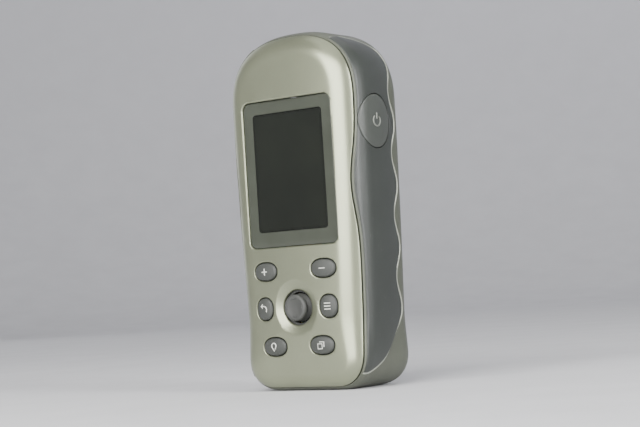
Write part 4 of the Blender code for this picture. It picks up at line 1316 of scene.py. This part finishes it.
NODE_MAT = {
    "display_mask": "chip", "display_gasket": "foam", "lcd_panel": "chip", "lcd_backlight": "white",
    "lcd_flex_cable": "flex", "main_board": "pcb", "processor_chip": "chip", "memory_chip": "chip",
    "receiver_shield": "tin", "beeper": "chip", "backup_cell": "tin", "board_screw_1": "screw",
    "board_screw_2": "screw", "keypad_membrane": "seal", "dome_sheet": "gold", "keypad_board": "pcb",
    "joystick_base": "chip", "joystick_gimbal": "steel", "power_switch": "chip", "antenna_patch": "ceramic",
    "antenna_board": "pcb", "antenna_shield": "tin", "antenna_bracket": "chip", "antenna_cable": "chip",
    "port_board": "pcb", "usb_socket": "tin", "door_seal": "seal", "contact_bottom": "gold",
    "contact_top_left": "gold", "contact_top_right": "gold", "housing_seal": "seal"}
for node, key in NODE_MAT.items():
    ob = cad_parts[node]
    ob.data.materials.clear()
    ob.data.materials.append(MAT[key])

# ======================================================= floor, lights, camera ==
def build_floor():
    """A pale sweep all round: flat floor, a round turn, and a wall, the wall painted lighter and bluer towards one
    side as painted light.
    """
    bm = bmesh.new()
    rows = [(0.35, 0.0), (0.75, 0.0), (1.2, 0.0)]
    for k in range(1, 13):
        a = R(90 * k / 12)
        rows.append((1.2 + 0.7 * math.sin(a), 0.7 * (1 - math.cos(a))))
    rows.append((1.9, 2.6))
    n = 96
    vs = [[bm.verts.new((r * math.cos(2 * math.pi * k / n), r * math.sin(2 * math.pi * k / n), z))
           for k in range(n)] for r, z in rows]
    bm.faces.new(vs[0])
    for a, b in zip(vs, vs[1:]):
        for k in range(n):
            bm.faces.new((a[k], b[k], b[(k + 1) % n], a[(k + 1) % n]))
    me = bpy.data.meshes.new("studio_floor")
    bm.to_mesh(me)
    bm.free()
    me.shade_smooth()
    ob = bpy.data.objects.new("studio_floor", me)
    bpy.context.scene.collection.objects.link(ob)
    ob.location.z = -0.0001
    m = bpy.data.materials.new("studio_paper")
    k = Nodes(m)
    paper = k.ramp(k.noise(30.0, 3.0), [(0.3, (0.62, 0.62, 0.635)), (0.7, (0.66, 0.66, 0.675))])
    x, y, z = k.xyz()
    # painted light: the wall's colour runs lighter and bluer across towards one side, as if lit more from there
    across = k.math("ADD", k.math("MULTIPLY", x, 0.8), k.math("MULTIPLY", y, 0.6))
    wall = k.mix(k.maprange(across, -1.2, 0.8, 0.0, 1.0), (0.56, 0.56, 0.575), (0.74, 0.74, 0.80))
    k.to("Base Color", k.mix(k.maprange(z, 0.02, 0.9, 0.0, 1.0), paper, wall))
    k.to("Roughness", 0.85)
    me.materials.append(m)
    return ob


build_floor()

world = bpy.data.worlds.new("studio")
bpy.context.scene.world = world
world.use_nodes = True
bg = world.node_tree.nodes["Background"]
bg.inputs[0].default_value = (0.80, 0.82, 0.86, 1.0)
bg.inputs[1].default_value = 0.24

TARGET = Vector((0.0, 0.0, 0.0585))


def softbox(name, az, el, dist, w, h, power, col=(1, 1, 1)):
    """An area light at an azimuth and elevation round the unit."""
    a, e = R(az), R(el)
    d = Vector((math.sin(a) * math.cos(e), -math.cos(a) * math.cos(e), math.sin(e)))
    lt = bpy.data.lights.new(name, "AREA")
    lt.shape = "RECTANGLE"
    lt.size, lt.size_y = w, h
    lt.energy = power
    lt.color = col
    ob = bpy.data.objects.new(name, lt)
    ob.location = TARGET + d * dist
    ob.rotation_mode = "QUATERNION"
    ob.rotation_quaternion = (-d).to_track_quat("-Z", "Y")
    ob.visible_camera = False
    bpy.context.scene.collection.objects.link(ob)
    return ob


softbox("key", 9, 20, 0.85, 0.80, 0.75, 20.0, (1.0, 0.995, 0.975))
softbox("top", 30, 80, 0.9, 0.8, 0.8, 2.2)
softbox("fill_left", -112, 18, 1.1, 0.5, 0.8, 0.9, (0.96, 0.98, 1.0))
softbox("rear", 195, 62, 1.1, 0.8, 0.6, 1.2)
softbox("kicker", 78, 10, 0.85, 0.22, 0.75, 9.5, (0.99, 1.0, 1.0))
glow = softbox("backdrop", 217, 40, 1.0, 0.6, 0.4, 3.4, (0.98, 0.98, 1.0))
glow.location = (-0.50, 0.85, 1.15)
glow.rotation_quaternion = (Vector((-0.60, 1.80, 0.25)) - glow.location).to_track_quat("-Z", "Y")

cam = bpy.data.cameras.new("camera")
camera = bpy.data.objects.new("camera", cam)
bpy.context.scene.collection.objects.link(camera)
bpy.context.scene.camera = camera
AZ, EL, ROLL, DIST = 37.0, -2.5, 3.6, 0.56
a, e = R(AZ), R(EL)
back = Vector((math.sin(a) * math.cos(e), -math.cos(a) * math.cos(e), math.sin(e)))
aim = Vector((0.0, 0.0, 0.0575))
camera.location = aim + back * DIST
camera.rotation_mode = "QUATERNION"
q = (-back).to_track_quat("-Z", "Y")
from mathutils import Quaternion
camera.rotation_quaternion = q @ Quaternion((0, 0, 1), R(-ROLL))
cam.sensor_width = 36.0
cam.lens = 95.0
cam.clip_start, cam.clip_end = 0.01, 20.0
